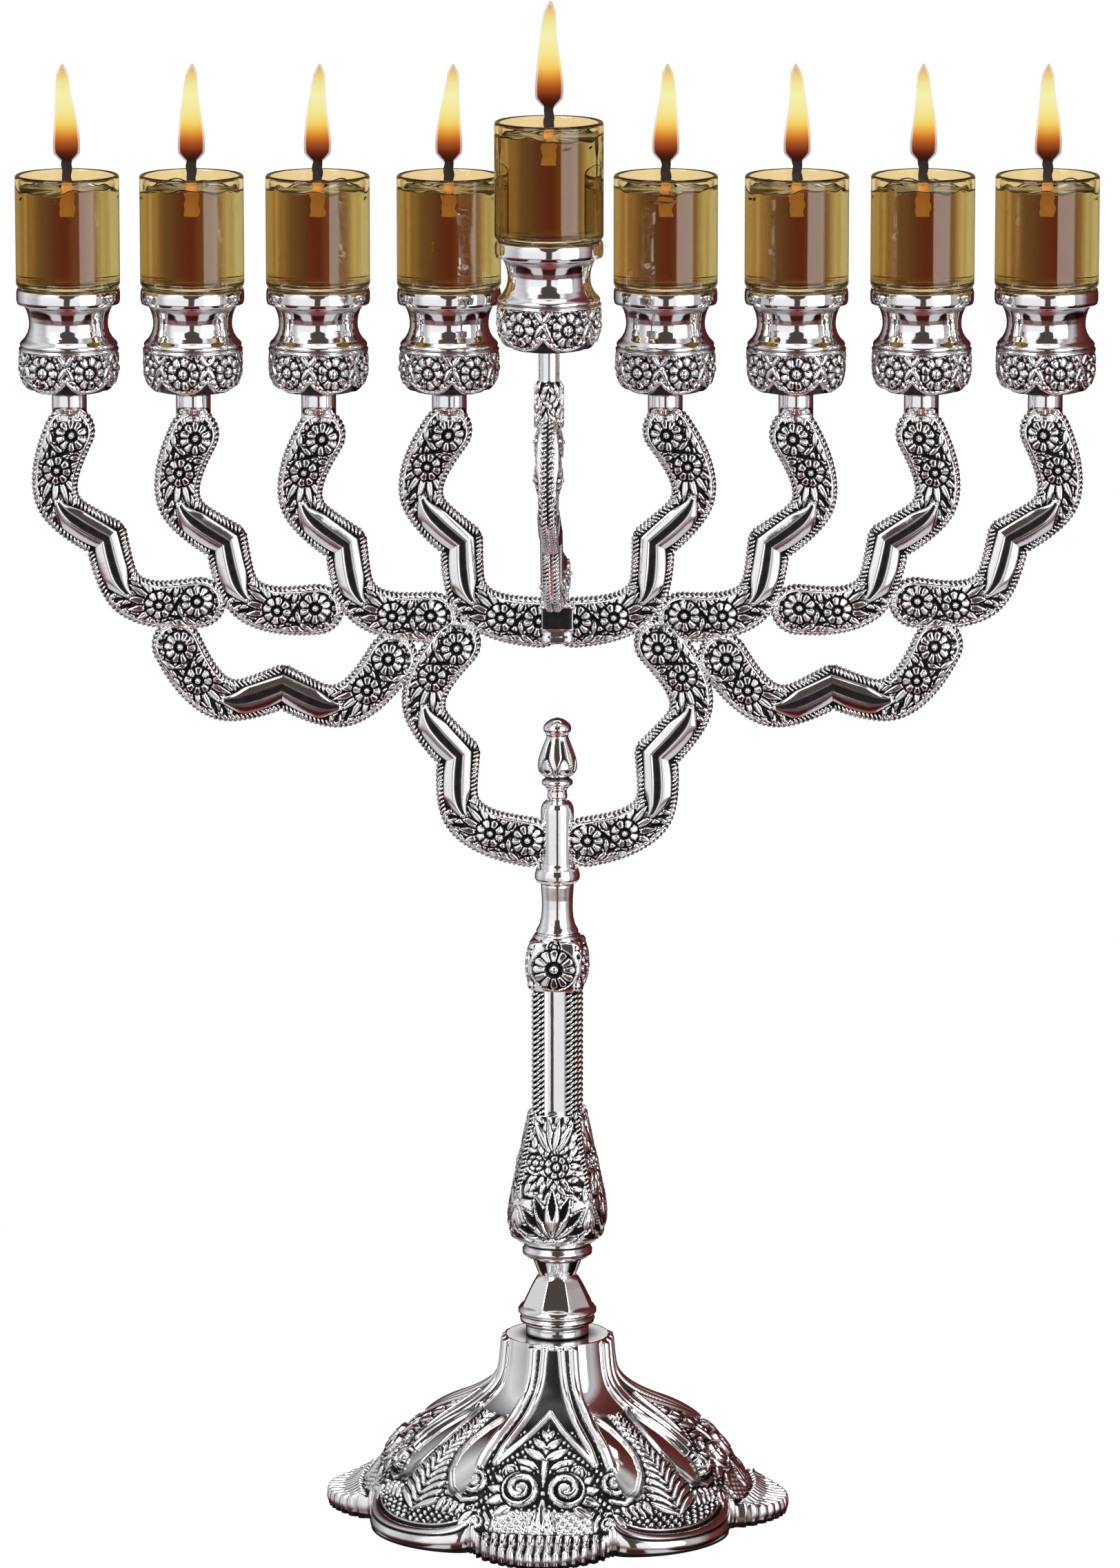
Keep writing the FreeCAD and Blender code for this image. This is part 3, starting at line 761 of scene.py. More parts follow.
GLASS_OUTLINE = [(0, -12), (5.6, -12), (6.1, -11.5), (6.1, 0), (12.9, 0), (13.7, 0.35), (14, 1.1),
    (14, 29.7), (13.75, 30.25), (13.35, 30.4), (12.9, 30.2), (12.7, 29.7), (12.7, 2.4), (12.3, 1.6),
    (11.5, 1.2), (0, 1.2)]
GLASS_RADIUS = 14
GLASS_WALL = 1.3
GLASS_HEIGHT = 30.4
OIL_LEVEL = 27.4
WICK_FOOT = 19.6
WICK_TIP = 35
# How far each flame's tip leans along X, in mm
FLAME_LEANS = {"1": -0.9, "2": 0.2, "3": 0.4, "4": 1.1, "5": 0.5, "6": -0.2, "7": 0.2, "8": 0,
    "shamash": 0.2}
# Flame radius in mm at shares of its height
FLAME_SHARES = [0, 0.13, 0.28, 0.43, 0.58, 0.73, 0.88, 1]
FLAME_RADII = [[2.9], [3.6], [3.5], [3.05], [2.5], [2.05], [1.6], [1.2]]


def make_glass(label, scale, x, y, bottom):
    outline = [(r * scale, h * scale if h > 3 else h) for r, h in GLASS_OUTLINE]
    mesh = turned_piece(straight_profile(outline), 96, x, y, bottom).mesh("glass", GLASS)
    place("glass_" + label + "_cup", mesh, "light_" + label, ["glass_" + label], "glass")


def make_oil(label, scale, x, y, bottom, phase):
    """The filling, a touch larger than the glass's inside, with a wavy edge to its surface."""
    radius = GLASS_RADIUS * scale - GLASS_WALL + 0.03
    level = OIL_LEVEL * scale
    outline = [(0, 1.17), (radius - 1.3, 1.17), (radius - 0.5, 1.5), (radius, 2.4), (radius, level - 0.4),
        (radius - 0.3, level - 0.75), (radius - 1.2, level - 1), (0, level - 1.1)]
    r, h = grids(straight_profile(outline, 0.6), 96)
    angle = round_turn(96)
    wave = 0.4 * np.sin(2 * angle + phase) + 0.3 * np.sin(3 * angle + 2.1 * phase)
    wave = wave + 0.3 * np.sin(7 * angle + phase) + 0.25 * np.sin(12 * angle + 3 * phase)
    h = h + np.where(h > level - 2.5, 1, 0) * wave * (r / radius) ** 2
    mesh = lathe(r, h + bottom, 0, x, y).mesh("oil", OIL)
    place("oil_" + label + "_fill", mesh, "light_" + label, ["oil_" + label], "oil")


def make_wick(label, x, y, foot, tip, phase):
    rows, columns = 60, 24
    height = np.linspace(foot, tip, rows)
    share = (height - foot) / (tip - foot)
    twist = np.cos(3 * round_turn(columns) + height[:, None] * 1.9 + phase)
    radius = 1.32 + 0.12 * twist + 0.1 * np.sin(height[:, None] * 1.1 + phase)
    radius = radius * np.where(share > 0.97, 0.75, 1)[:, None]
    radius = np.concatenate([np.zeros((1, columns)), radius, np.zeros((1, columns))])
    height = np.concatenate([[foot], height, [tip]])
    share = np.concatenate([[0], share, [1]])
    mesh = lathe(radius, height[:, None], share[:, None], x, y).mesh("wick", WICK, "rise")
    place("wick_" + label + "_cotton", mesh, "light_" + label, [], "wick")


def make_flame(label, scale, x, y, tip, top, phase):
    """A solid core in a thin glowing layer, from a little below the wick's tip to top."""
    columns = 40
    rise = (1 - np.cos(np.linspace(0, math.pi, 60))) / 2
    swell = spline(FLAME_SHARES, FLAME_RADII, rise)[:, 0]
    swell = swell * np.clip(rise / 0.1, 0, 1) ** 0.5 * np.clip((1 - rise) / 0.1, 0, 1) ** 0.6
    for name, material, width, end in (("core", FLAME_CORE, 0.84, 0.95), ("edge", FLAME_EDGE, 1, 1)):
        share = end * rise
        radius = np.repeat((swell * width * scale)[:, None], columns, 1)
        lean = FLAME_LEANS[label] * share ** 1.6 + 0.35 * np.sin(math.pi * 2 * share + phase) * share
        height = tip - 1.6 + 0.3 * (width < 1) + (top - tip + 1.6) * share
        shell = lathe(radius, height[:, None], share[:, None], x, y)
        shell.points[0][:, 0] += np.repeat(lean, columns)
        mesh = shell.mesh("flame", material, "rise")
        place("flame_" + label + "_" + name, mesh, "light_" + label, ["wick_" + label], "wick")


def make_lights():
    for number, label in enumerate(LABELS):
        low, high = cad_extent("glass_" + label)
        scale = SHAMASH_SCALE if label == "shamash" else 1
        x, y = ((low + high) / 2)[:2]
        bottom = high[2] - GLASS_HEIGHT * scale
        tip = bottom + WICK_TIP * scale
        top = cad_extent("wick_" + label)[1][2]
        make_glass(label, scale, x, y, bottom)
        make_oil(label, scale, x, y, bottom, 1.3 * number)
        make_wick(label, x, y, bottom + WICK_FOOT * scale, tip, 0.9 * number)
        make_flame(label, scale, x, y, tip, top, 0.9 * number)


make_lights()


# ---- Stem ----

STEM_MATRIX = turned_about_z(-7)
SHAFT_LOW = 112
SHAFT_HIGH = 146.9
# Directions of the stem's four corners, in radians from the front
CORNERS = [math.radians(45 + 90 * quarter) for quarter in range(4)]


def squared(angle, half_width, power):
    """Radius of a rounded square at that angle."""
    return half_width / (np.abs(np.sin(angle)) ** power + np.abs(np.cos(angle)) ** power) ** (1 / power)


def quarter_face(angle):
    """Angle from the middle of the nearest of the four faces."""
    return np.mod(angle + math.pi / 4, math.pi / 2) - math.pi / 4


def make_socket():
    """Ring and eight-sided cone that stand on the foot."""
    outline = straight_profile([(0, 49.2), (8.6, 49.2), (8.7, 52), (9.3, 52.6), (10.1, 53), (10.3, 53.9),
        (10, 54.6), (9.5, 54.9), (10.3, 55.2), (10.75, 55.7), (10.75, 56.4), (10.2, 57.2), (9.6, 57.7),
        (8.4, 60.2), (7.1, 62.9), (5.8, 65.2), (5.3, 66), (0, 66)], 0.3)
    angle = round_turn(192)
    facet = np.mod(angle - math.radians(4) + math.pi / 8, math.pi / 4) - math.pi / 8
    octagon = 0.965 / np.cos(facet)
    z = outline[:, 1:]
    radius = outline[:, :1] * (1 + between(z, 57.3, 58, 65, 65.6) * (octagon - 1))
    # Painted shade in the notch at 55 mm and at the ring's foot, where it stands on the foot.
    recess = 0.9 * between(z, 54.5, 54.8, 55, 55.3) + 0.7 * (1 - steps(z, 49.6, 50.4))
    place_silver("socket_ring", lathe(radius, z, recess).mesh("socket", SILVER), "stem_socket", STEM_MATRIX)


# Half-width of the bulb's squared faces over its outline's radius
BULB_SQUARE = 0.93


def make_bulb():
    """Squared baluster with a shell palmette, a flower and leaves on each face, and roped edges."""
    outline = straight_profile([(0, 66), (5, 66), (5.6, 67.4), (6.7, 70.4), (6.9, 71), (8.6, 71.5),
        (9.5, 72.2), (9.6, 73.4), (9.1, 74.2), (8.8, 74.9), (9.9, 75.6), (11.8, 77), (12.9, 78.9),
        (13.5, 81.2), (13.6, 84), (13.2, 88), (12.3, 92.5), (11, 98), (9.7, 103.5), (8.6, 108.5),
        (7.9, 112.2), (0, 112.2)], 0.3)
    columns = 336
    radius, z = grids(outline, columns)
    share = steps(z, 74.6, 79)
    local = quarter_face(np.broadcast_to(round_turn(columns), z.shape))
    radius = radius * (1 + share * (BULB_SQUARE * squared(local, 1, 3) - 1))
    x = radius * np.sin(local)
    leafy = foliage(x, z, (z > 88.5) & (z < 112), 2.4, 4, 0.8, 0.9, 5, ((0, 97.8),))
    relief = np.where(z > 89.5, leafy, 0.8)
    for fan in (-3, 3, -2, 2, -1, 1, 0):
        spread = math.radians(23 * fan)
        reach = 15.2 - 0.9 * abs(fan)
        root = (0.9 * math.sin(spread), 78.6 + 0.6 * math.cos(spread))
        tip = (reach * 0.9 * math.sin(spread), 78.4 + reach * math.cos(spread))
        relief = add_leaf(relief, x, z, root, tip, 2.1, 1.1)
        slot = leaf(x, z, (root[0] + 0.35 * (tip[0] - root[0]), root[1] + 0.35 * (tip[1] - root[1])),
            (0.92 * tip[0] + 0.08 * root[0], 0.92 * tip[1] + 0.08 * root[1]), 1, 1)
        relief = np.where(slot > 0.2, 0, relief)
    for side in (-1, 1):
        for root, tip, width in (((0.9, 102.4), (5.2, 110.8), 1.3), ((0.2, 102.8), (1.6, 111.6), 1),
                ((8.6, 89), (9.2, 95), 0.9), ((9, 80.6), (9.8, 87.4), 0.9), ((1.2, 78), (7.4, 79.4), 0.8)):
            relief = add_leaf(relief, x, z, (side * root[0], root[1]), (side * tip[0], tip[1]), width, 0.95)
    relief = add_flower(relief, x, z, (0.9, 98.6), 3.2, 7, 1.1, 1)
    relief = add_flower(relief, x, z, (-4.6, 99.6), 2.3, 6, 1.1, 0.8)
    ornate = between(z, 77.2, 77.8, 111.8, 112.2)
    recess = darken(relief, 0.15, 0.5) * ornate
    ledge = np.maximum(band(z - 76.4, 0.6, 0.5), band(z - 78, 0.45, 0.4)) * share
    recess = recess * (1 - steps(ledge, 0.05, 0.3))
    radius = radius + relief * ornate * 0.9 + ledge
    # Painted shade in the notch under the ring at 75 mm and under the ledge at 71 mm.
    recess = np.maximum(recess, 0.8 * between(z, 74.4, 74.7, 75.2, 75.8))
    recess = np.maximum(recess, 0.85 * between(z, 70.6, 70.8, 71.1, 71.4))
    shell = lathe(radius, z, recess)
    for corner in CORNERS:
        height = np.linspace(90.5, 112.2, 60)
        reach = np.interp(height, outline[:-1, 1], outline[:-1, 0]) * BULB_SQUARE * 2 ** (0.5 - 1 / 3) + 0.35
        route = np.stack([reach * math.sin(corner), -reach * math.cos(corner), height], -1)
        rope(shell, route, (math.sin(corner), -math.cos(corner), 0), 1.05, 2.4)
    place_silver("bulb_chased", shell.mesh("bulb", SILVER), "stem_bulb", STEM_MATRIX)


def make_shaft():
    """Square shaft with a polished channel down each face between roped corners."""
    local = quarter_face(round_turn(256))
    half = 5.3
    channel_half = 3
    x = half * np.tan(local)
    channel = 0.85 * np.clip(1 - (x / channel_half) ** 2, 0, 1) ** 0.5
    radius = np.minimum((half - channel) / np.cos(local), half * 1.28)
    height = np.concatenate([[SHAFT_LOW], np.linspace(SHAFT_LOW, SHAFT_HIGH, 60), [SHAFT_HIGH]])
    radius = np.repeat(radius, len(height), 0)
    radius[[0, -1]] = 0
    recess = np.repeat(np.where(np.abs(x) > channel_half, 0.9, 0), len(height), 0)
    shell = lathe(radius, height[:, None], recess)
    for quarter in range(4):
        face = math.radians(90 * quarter)
        corner = face + math.radians(45)
        for x, y, facing in ((3.95, 5.2, face), (5.2, 5.2, corner), (5.2, 3.95, face + math.pi / 2)):
            px = x * math.cos(face) + y * math.sin(face)
            py = x * math.sin(face) - y * math.cos(face)
            route = [(px, py, z) for z in np.linspace(SHAFT_LOW, SHAFT_HIGH, 40)]
            rope(shell, route, (math.sin(facing), -math.cos(facing), 0), 1.25, 3)
    place_silver("shaft_roped", shell.mesh("shaft", SILVER), "stem_shaft", STEM_MATRIX)


def make_collar():
    """Block with a large daisy on each face."""
    columns, rows = 320, 70
    z = np.repeat(np.linspace(146.7, 160.6, rows)[:, None], columns, 1)
    local = quarter_face(np.broadcast_to(round_turn(columns), z.shape))
    bulge = 1 - 0.16 * np.abs((z - 153.6) / 7) ** 2.5
    radius = squared(local, 7.35, 5) * bulge
    x = radius * np.sin(local)
    relief = foliage(x, z, np.abs(x) < 9, 2.6, 4, 0.95, 0.9, 8, ((0, 153.3),))
    relief = np.where(np.abs(x) + 0.35 * np.abs(z - 153.3) < 7, 0.8, relief)
    relief = add_flower(relief, x, z, (0, 159.2), 1.5, 5, 0.9, 0.7)
    relief = add_flower(relief, x, z, (0, 153.3), 5.5, 12, 1.3, 1.2)
    recess = darken(relief, 0.12, 0.5)
    radius = radius + relief
    radius[[0, -1]] = 0
    shell = lathe(radius, z, recess)
    for corner in CORNERS:
        for height, size, reach in ((148.6, 1.7, 8.2), (159, 1.5, 8)):
            outline = smooth_profile([(0, -size), (size * 0.7, -size * 0.72), (size, 0),
                (size * 0.7, size * 0.72), (0, size)], 18)
            ball = turned_piece(outline, 20, reach * math.sin(corner), -reach * math.cos(corner), height)
            shell.add(ball.points[0], ball.faces[0])
    place_silver("collar_flowers", shell.mesh("collar", SILVER), "stem_flower_collar", STEM_MATRIX)


NECK_OUTLINE = [(0, 160.5), (6.3, 160.6), (6.5, 161.1), (6.2, 161.7), (5.6, 162.1), (5.8, 162.7),
    (5.5, 163.3), (4.9, 164.4), (4.4, 166.4), (4.2, 169), (4.25, 171.5), (4.45, 174.6), (4.5, 175.4),
    (4.4, 175.9), (5.5, 176.4), (6.1, 177.2), (6.15, 178.4), (5.7, 180), (5.2, 180.2), (0, 180.2)]
HUB_OUTLINE = [(0, 180.1), (4.9, 180.2), (4.8, 181), (4.5, 181.4), (4.5, 195.8), (4.4, 197), (3.9, 198.1),
    (2.9, 199), (0, 199)]


def make_neck_and_hub():
    """The plain turned pieces that the finial and the lower arms stand on."""
    for name, node, points in (("neck_turning", "stem_neck", NECK_OUTLINE),
            ("hub_tube", "arm_hub", HUB_OUTLINE)):
        shell = turned_piece(straight_profile(points), 96)
        place_silver(name, shell.mesh(name.split("_")[0], SILVER), node)


def make_finial():
    """A bud of six petals in a ring of leaves, with a cap."""
    outline = smooth_profile([(0, 198.9), (2, 199), (2.65, 199.6), (2.6, 201.6), (3.2, 202.6), (4.1, 203.4),
        (4.1, 204.4), (3.2, 205.1), (4.4, 206.2), (5.3, 207.8), (5.25, 209.8), (4.4, 212.8), (3.3, 215.6),
        (3, 217), (3.7, 218.2), (3.7, 219.4), (2.7, 220.6), (1.2, 221.5), (0, 221.8)], 150)
    outline[:, 0] = np.clip(outline[:, 0], 0, None)
    outline[[0, -1], 0] = 0
    angle = round_turn(144)
    radius, z = grids(outline, 144)
    bud = between(z, 205.2, 206.4, 214.5, 217)
    low_leaves = np.abs(np.sin(3 * angle)) - 0.16 * (z - 205)
    seam = np.where(low_leaves > 0, np.minimum(1, 5 * low_leaves), np.abs(np.cos(3 * angle)))
    seam = np.minimum(seam, steps(np.abs(low_leaves), 0, 0.18) + 0.1)
    radius = radius * (1 - 0.13 * bud * (1 - steps(seam, 0.05, 0.6)))
    recess = bud * (1 - steps(seam, 0.15, 0.55)) * 0.95
    # Painted shade in the notch between the ring and the bud.
    recess = np.maximum(recess, 0.7 * between(z, 204.7, 205, 205.2, 205.7))
    place_silver("finial_bud", lathe(radius, z, recess).mesh("finial", SILVER), "finial", STEM_MATRIX)


def make_clip():
    """Square clip with rounded edges, and the shamash arm's post on it."""
    columns = 160
    outline = straight_profile([(0, 242.7), (4.1, 242.7), (4.6, 243.3), (4.6, 244.6), (4.35, 244.8),
        (4.35, 246.2), (4.6, 246.4), (4.6, 250.6), (4.6, 252.9), (4.1, 253.5), (0, 253.5)], 0.25)
    _, z = grids(outline, columns)
    angle = round_turn(columns)
    radius = squared(angle, 1, np.where(outline[:, 1:] < 246.45, 4.5, 9)) * outline[:, :1]
    local = quarter_face(np.broadcast_to(angle, z.shape))
    panel = (np.abs(radius * np.sin(local)) < 4.15) & (z > 246.7) & (z < 252.6)
    shell = lathe(radius - np.where(panel, 0.35, 0), z, np.where(panel, 0.85, 0))
    top = cad_extent("centre_clip")[1][2]
    post = straight_profile([(0, 253.2), (3.7, 253.2), (3.7, 254), (3.1, 254.4), (3.1, top - 0.4),
        (0, top - 0.3)], 0.3)
    lathe(*grids(post, 64), 0, 0, -1.4, shell)
    place_silver("clip_block", shell.mesh("clip", SILVER), "centre_clip")


make_socket()
make_bulb()
make_shaft()
make_collar()
make_neck_and_hub()
make_finial()
make_clip()


# ---- Foot: four scrolled cartouches round a flared casting with a lobed rim ----

FOOT_WALL = 2.3
FOOT_OUTER = [(14.2, 49.2), (14.7, 44), (16.2, 37.5), (21.5, 32), (33, 26), (44, 18), (51.5, 8.5),
    (56, 4.6), (64, 3.2)]
FOOT_COLUMNS = 840
FOOT_ROWS = 250


class FootSurface:
    """The foot's outer surface by angle from a cartouche's axis (degrees) and length down the flare."""

    def __init__(self):
        knots = run_lengths(FOOT_OUTER)
        fine = spline(knots, FOOT_OUTER, np.linspace(0, knots[-1], 1200))
        self.length = run_lengths(fine)
        self.r, self.z = fine.T
        self.slope = np.gradient(fine, self.length, axis=0)

    def at(self, length):
        return np.interp(length, self.length, self.r), np.interp(length, self.length, self.z)

    def slope_at(self, length):
        return [np.interp(length, self.length, self.slope[:, axis]) for axis in (0, 1)]

    def point(self, degrees, length):
        r, z = self.at(length)
        a = np.radians(degrees)
        return np.stack(np.broadcast_arrays(r * np.sin(a), -r * np.cos(a), z), -1)

    def local(self, points, degrees, length):
        """Flat coordinates of points round one place on the surface: x round the foot, y down it."""
        a = math.radians(degrees)
        dr, dz = self.slope_at(length)
        offset = points - self.point(degrees, length)
        round_way = np.array([math.cos(a), math.sin(a), 0])
        down_way = np.array([dr * math.sin(a), -dr * math.cos(a), dz])
        return offset @ round_way, offset @ down_way

    def distance(self, points, route):
        """Distance from points to a line through (degrees, length) places."""
        dense = []
        for (a0, l0), (a1, l1) in zip(route[:-1], route[1:]):
            for share in np.linspace(0, 1, 5)[:-1]:
                dense.append((a0 + share * (a1 - a0), l0 + share * (l1 - l0)))
        dense.append(route[-1])
        dense = np.array(dense)
        line = self.point(dense[:, 0], dense[:, 1])
        best = np.full(points.shape[:-1], 1e9)
        for start, end in zip(line[:-1], line[1:]):
            run = end - start
            share = np.clip((points - start) @ run / (run @ run), 0, 1)
            gap = points - start - share[..., None] * run
            best = np.minimum(best, np.sqrt((gap ** 2).sum(-1)))
        return best


def from_axis(degrees):
    """Degrees from the nearest cartouche's axis."""
    return np.abs(np.mod(degrees + 45, 90) - 45)


def rim_radius(degrees):
    lobe = np.clip(-np.cos(np.radians(4 * degrees)), 0, None) ** 0.6
    lip = np.cos(math.pi / 2 * np.minimum(1, from_axis(degrees) / 21))
    return 52 + 10.5 * lip + 6 * lobe


FOOT_RIB = [(22, -1), (23, 8), (25, 18), (25.5, 28), (26, 38), (25.5, 44)]
FOOT_INNER_RIB = [(8, -1), (10.5, 8), (14, 16), (17.5, 26), (19.5, 34), (20, 40)]
FOOT_OGEE = [(0, 19.5), (5, 23.5), (10, 28.5), (15, 34), (19.5, 39.5)]
FOOT_BOWL_EDGE = [(27, 21), (32, 23), (36, 27.5), (38, 33), (38.5, 39), (37, 45), (33, 50), (27.5, 52.5),
    (23, 51.5)]


def foot_relief(surface, side, length, to_rim):
    """Relief, blackening and the fringe's tongues, for angles of 0 (cartouche axis) to 45 degrees."""
    points = surface.point(side, length)
    r, _ = surface.at(length)
    x = r * np.radians(side)

    rib = surface.distance(points, FOOT_RIB)
    inner_rib = surface.distance(points, FOOT_INNER_RIB)
    ogee = surface.distance(points, FOOT_OGEE)
    bowl_edge = surface.distance(points, FOOT_BOWL_EDGE)
    smooth = np.maximum.reduce([band(rib, 1.5, 1.7), band(inner_rib, 1.2, 1.3), band(ogee, 0.95, 1.2),
        band(bowl_edge, 0.85, 1)])

    vein = np.abs(np.sin(1.7 * x + 0.8 * length)) * np.abs(np.sin(1.2 * length - 1 * x))
    ornament = 0.55 * steps(vein, 0.35, 0.75) * steps(length, 24, 28) * (to_rim > 4.2)
    scale_area = (length > 53.5) & (side > 23) & (to_rim > 5)
    scales = np.abs(np.cos(math.pi * (x + length) / 2.6) * np.cos(math.pi * (x - length) / 2.6))
    ornament = np.where(scale_area, 0.9 * steps(scales, 0.32, 0.75), ornament)
    feathers = [((40.8 - 0.42 * step, 22 + 2.4 * step), (45.6, 27.6 + 2.4 * step), 1.15)
        for step in range(14)]
    plumes = [((start, 52.6), (start + 1.5, 57.4), 1.2) for start in (26.5, 29, 31.5, 34)]
    leaves = [((0, 47), (0, 24), 1.1), ((0, 30), (3.4, 26.5), 1), ((0, 34), (7.5, 30), 1.3),
        ((0, 38), (10.5, 34), 1.4), ((2.5, 41), (12.5, 38.2), 1.4), ((4.5, 42), (16, 41.5), 1.3),
        ((12, 47), (18.5, 44), 1.4), ((12.5, 48.5), (20, 48), 1.5), ((12, 50), (19.2, 52.6), 1.5),
        ((10, 52.5), (16, 56), 1.3), ((0, 50), (0, 61), 1.3), ((2, 53), (4.2, 61), 1),
        ((18.5, 55), (16, 60.5), 1.1), ((23, 55.5), (26, 60), 1.2)]
    for root, tip, width in feathers + plumes + leaves:
        middle = ((root[0] + tip[0]) / 2, (root[1] + tip[1]) / 2)
        lx, ly = surface.local(points, *middle)
        root_at = surface.local(surface.point(*root), *middle)
        tip_at = surface.local(surface.point(*tip), *middle)
        ornament = add_leaf(ornament, lx, ly, root_at, tip_at, width, 1.15, 0.6)
    for centre, reach, height, hand in (((20.5, 58.5), 2.4, 1.2, 1), ((12.8, 42.5), 2.4, 1.3, 1),
            ((7.8, 47.6), 5.4, 2, -1), ((25.2, 47.2), 4, 2, 1)):
        lx, ly = surface.local(points, *centre)
        covered = np.hypot(lx, ly) < reach + 0.4
        ornament = np.where(covered, volute(lx, ly, (0, 0), reach, height, hand), ornament)

    bowl = (side > 26) & (side < 38.5) & (length > 22) & (length < 52)
    ellipse = ((side - 31.5) / 7.2) ** 2 + ((length - 37) / 15.5) ** 2
    in_bowl = np.where(bowl, 1 - steps(ellipse, 0.85, 1.1), 0)
    ornament = ornament * (1 - in_bowl)
    moulding = band(to_rim - 1.6, 1.4, 0.7) * steps(side, 18.5, 20.5)
    second = band(to_rim - 4.2, 0.5, 0.5) * steps(side, 18.5, 20.5)
    fringe_area = steps(length, 61, 61.8) * (1 - steps(side, 18, 19.5))
    tongues = fringe_area * steps(np.abs(np.cos(math.pi * x / 2.5)), 0.28, 0.75)
    lines = (rib < 2.1) | (inner_rib < 1.75) | (ogee < 1.55) | (bowl_edge < 1.4)
    volutes = np.hypot(*surface.local(points, 25.2, 47.2)) < 4.4
    relief = np.where(lines & ~volutes, smooth, ornament)
    relief = np.where(fringe_area > 0.5, 1.5 * tongues, relief)
    relief = np.maximum.reduce([relief, moulding, second])

    relief = relief + in_bowl * 0.5 * np.clip(1 - ellipse, 0, 1)
    in_neck = (1 - steps(length, 20, 24)) * steps(side, 24, 25)
    plain_band = between(length, 53.5, 54.5, 60.2, 61) * (1 - steps(side, 15, 16.5))
    dark_gap = (1 - steps(side, 17, 20)) * (1 - steps(length, 20, 26))
    recess = darken(relief, 0.16, 0.62)
    recess = recess * (1 - 0.93 * np.maximum(in_bowl, in_neck))
    # Painted shade: the bowl darkens towards its edge.
    recess = np.maximum(recess, 0.6 * in_bowl * steps(ellipse, 0.3, 0.9))
    recess = recess * (1 - 0.75 * plain_band * (ornament < 0.3))
    recess = recess * (1 - 0.3 * dark_gap)
    recess = recess * steps(length, 0.8, 1.6)
    return relief * steps(length, 0, 1.2), recess, tongues


def make_foot():
    surface = FootSurface()
    degrees = np.linspace(0, 360, FOOT_COLUMNS, endpoint=False)
    rim_length = np.interp(rim_radius(degrees), surface.r, surface.length)
    length = np.linspace(0, 1, FOOT_ROWS)[:, None] * rim_length[None, :]
    side = np.broadcast_to(from_axis(degrees)[None, :], length.shape)
    to_rim = rim_length[None, :] - length
    relief, recess, tongue = foot_relief(surface, side, length, to_rim)
    r, z = surface.at(length)
    dr, dz = surface.slope_at(length)
    top_r = r - dz * relief
    top_z = z + dr * relief
    top_r = top_r + 0.9 * tongue * steps(to_rim, 3, 0)

    edge_r, edge_z = top_r[-1], top_z[-1]
    level = np.ones(FOOT_COLUMNS)
    gaps = (1 - tongue[-1]) * (side[-1] < 18.5)
    under = []
    # The rim's roll to the floor is painted dark in its lowest quarter as a painted shade line at the floor,
    # and painted with shade in the gaps between the tongues.
    for turn in np.linspace(0, 1, 12)[1:]:
        bulge = 0.5 * math.sin(math.pi * min(1, 1.15 * turn)) ** 0.7
        under.append((edge_r + bulge, edge_z * (1 - turn), (0.85 if turn > 0.75 else 0) + 0.6 * gaps))
    # Painted shade on the underside ring, inside the hollow and in the bore under the socket.
    for inward, height in ((3.6, 0), (3.9, 0.5), (4.2, 1.2)):
        under.append((edge_r - inward, height * level, 0.4 * level))
    for inner in np.linspace(0.93, 0, 40):
        inner_r, inner_z = surface.at(inner * rim_length)
        under.append((np.minimum(inner_r - FOOT_WALL, edge_r - 4.4), np.maximum(inner_z - FOOT_WALL, 1.3),
            0.4 * level))
    for radius, height, painted_shade in ((2.2, 46.9, 0.75), (2.2, 49.2, 0.75), (8, 49.2, 0.75), (13.6, 49.2, 0)):
        under.append((radius * level, height * level, painted_shade * level))
    under = np.array(under)
    top = (top_r, top_z, recess)
    grid = [np.concatenate([top[part], under[:, part], top[part][:1]]) for part in range(3)]
    place_silver("foot_cartouches", lathe(*grid).mesh("foot", SILVER), "base_foot", turned_about_z(-5))


make_foot()

for hidden in ("base_nut", "tie_rod"):
    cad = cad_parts[hidden]
    cad.data.materials.clear()
    cad.data.materials.append(STEEL)


# ---- Pale floor and soft studio light ----

def make_floor():
    """Pale floor, kept out of the silver's reflections."""
    material, tree, shader = new_material("pale_floor")
    tree.nodes.remove(shader)
    white = tree.add("Emission", Color=(1, 1, 1, 1))
    tree.feed(tree.nodes["Material Output"].inputs["Surface"], white.outputs["Emission"])
    bpy.ops.mesh.primitive_plane_add(size=1, location=(0, 0, 0))
    floor = bpy.context.object
    floor.name = "floor"
    floor.scale = (3, 3, 1)
    floor.data.materials.append(material)
    floor.visible_glossy = False
    floor.visible_transmission = False
    floor.visible_diffuse = False


def lamp(name, power, width, height, location, target):
    data = bpy.data.lights.new(name, "AREA")
    data.energy = power
    data.shape = "RECTANGLE"
    data.size = width
    data.size_y = height
    light = bpy.data.objects.new(name, data)
    light.location = location
    light.rotation_euler = (Vector(target) - Vector(location)).to_track_quat("-Z", "Y").to_euler()
    light.visible_camera = False
    bpy.context.scene.collection.objects.link(light)


def mix_colour(tree, factor, first, second, blend="MIX"):
    node = tree.nodes.new("ShaderNodeMix")
    node.data_type = "RGBA"
    node.blend_type = blend
    for name, source in (("Factor", factor), ("A", first), ("B", second)):
        tree.feed(node.inputs[name], source)
    return [socket for socket in node.outputs if socket.type == "RGBA"][0]


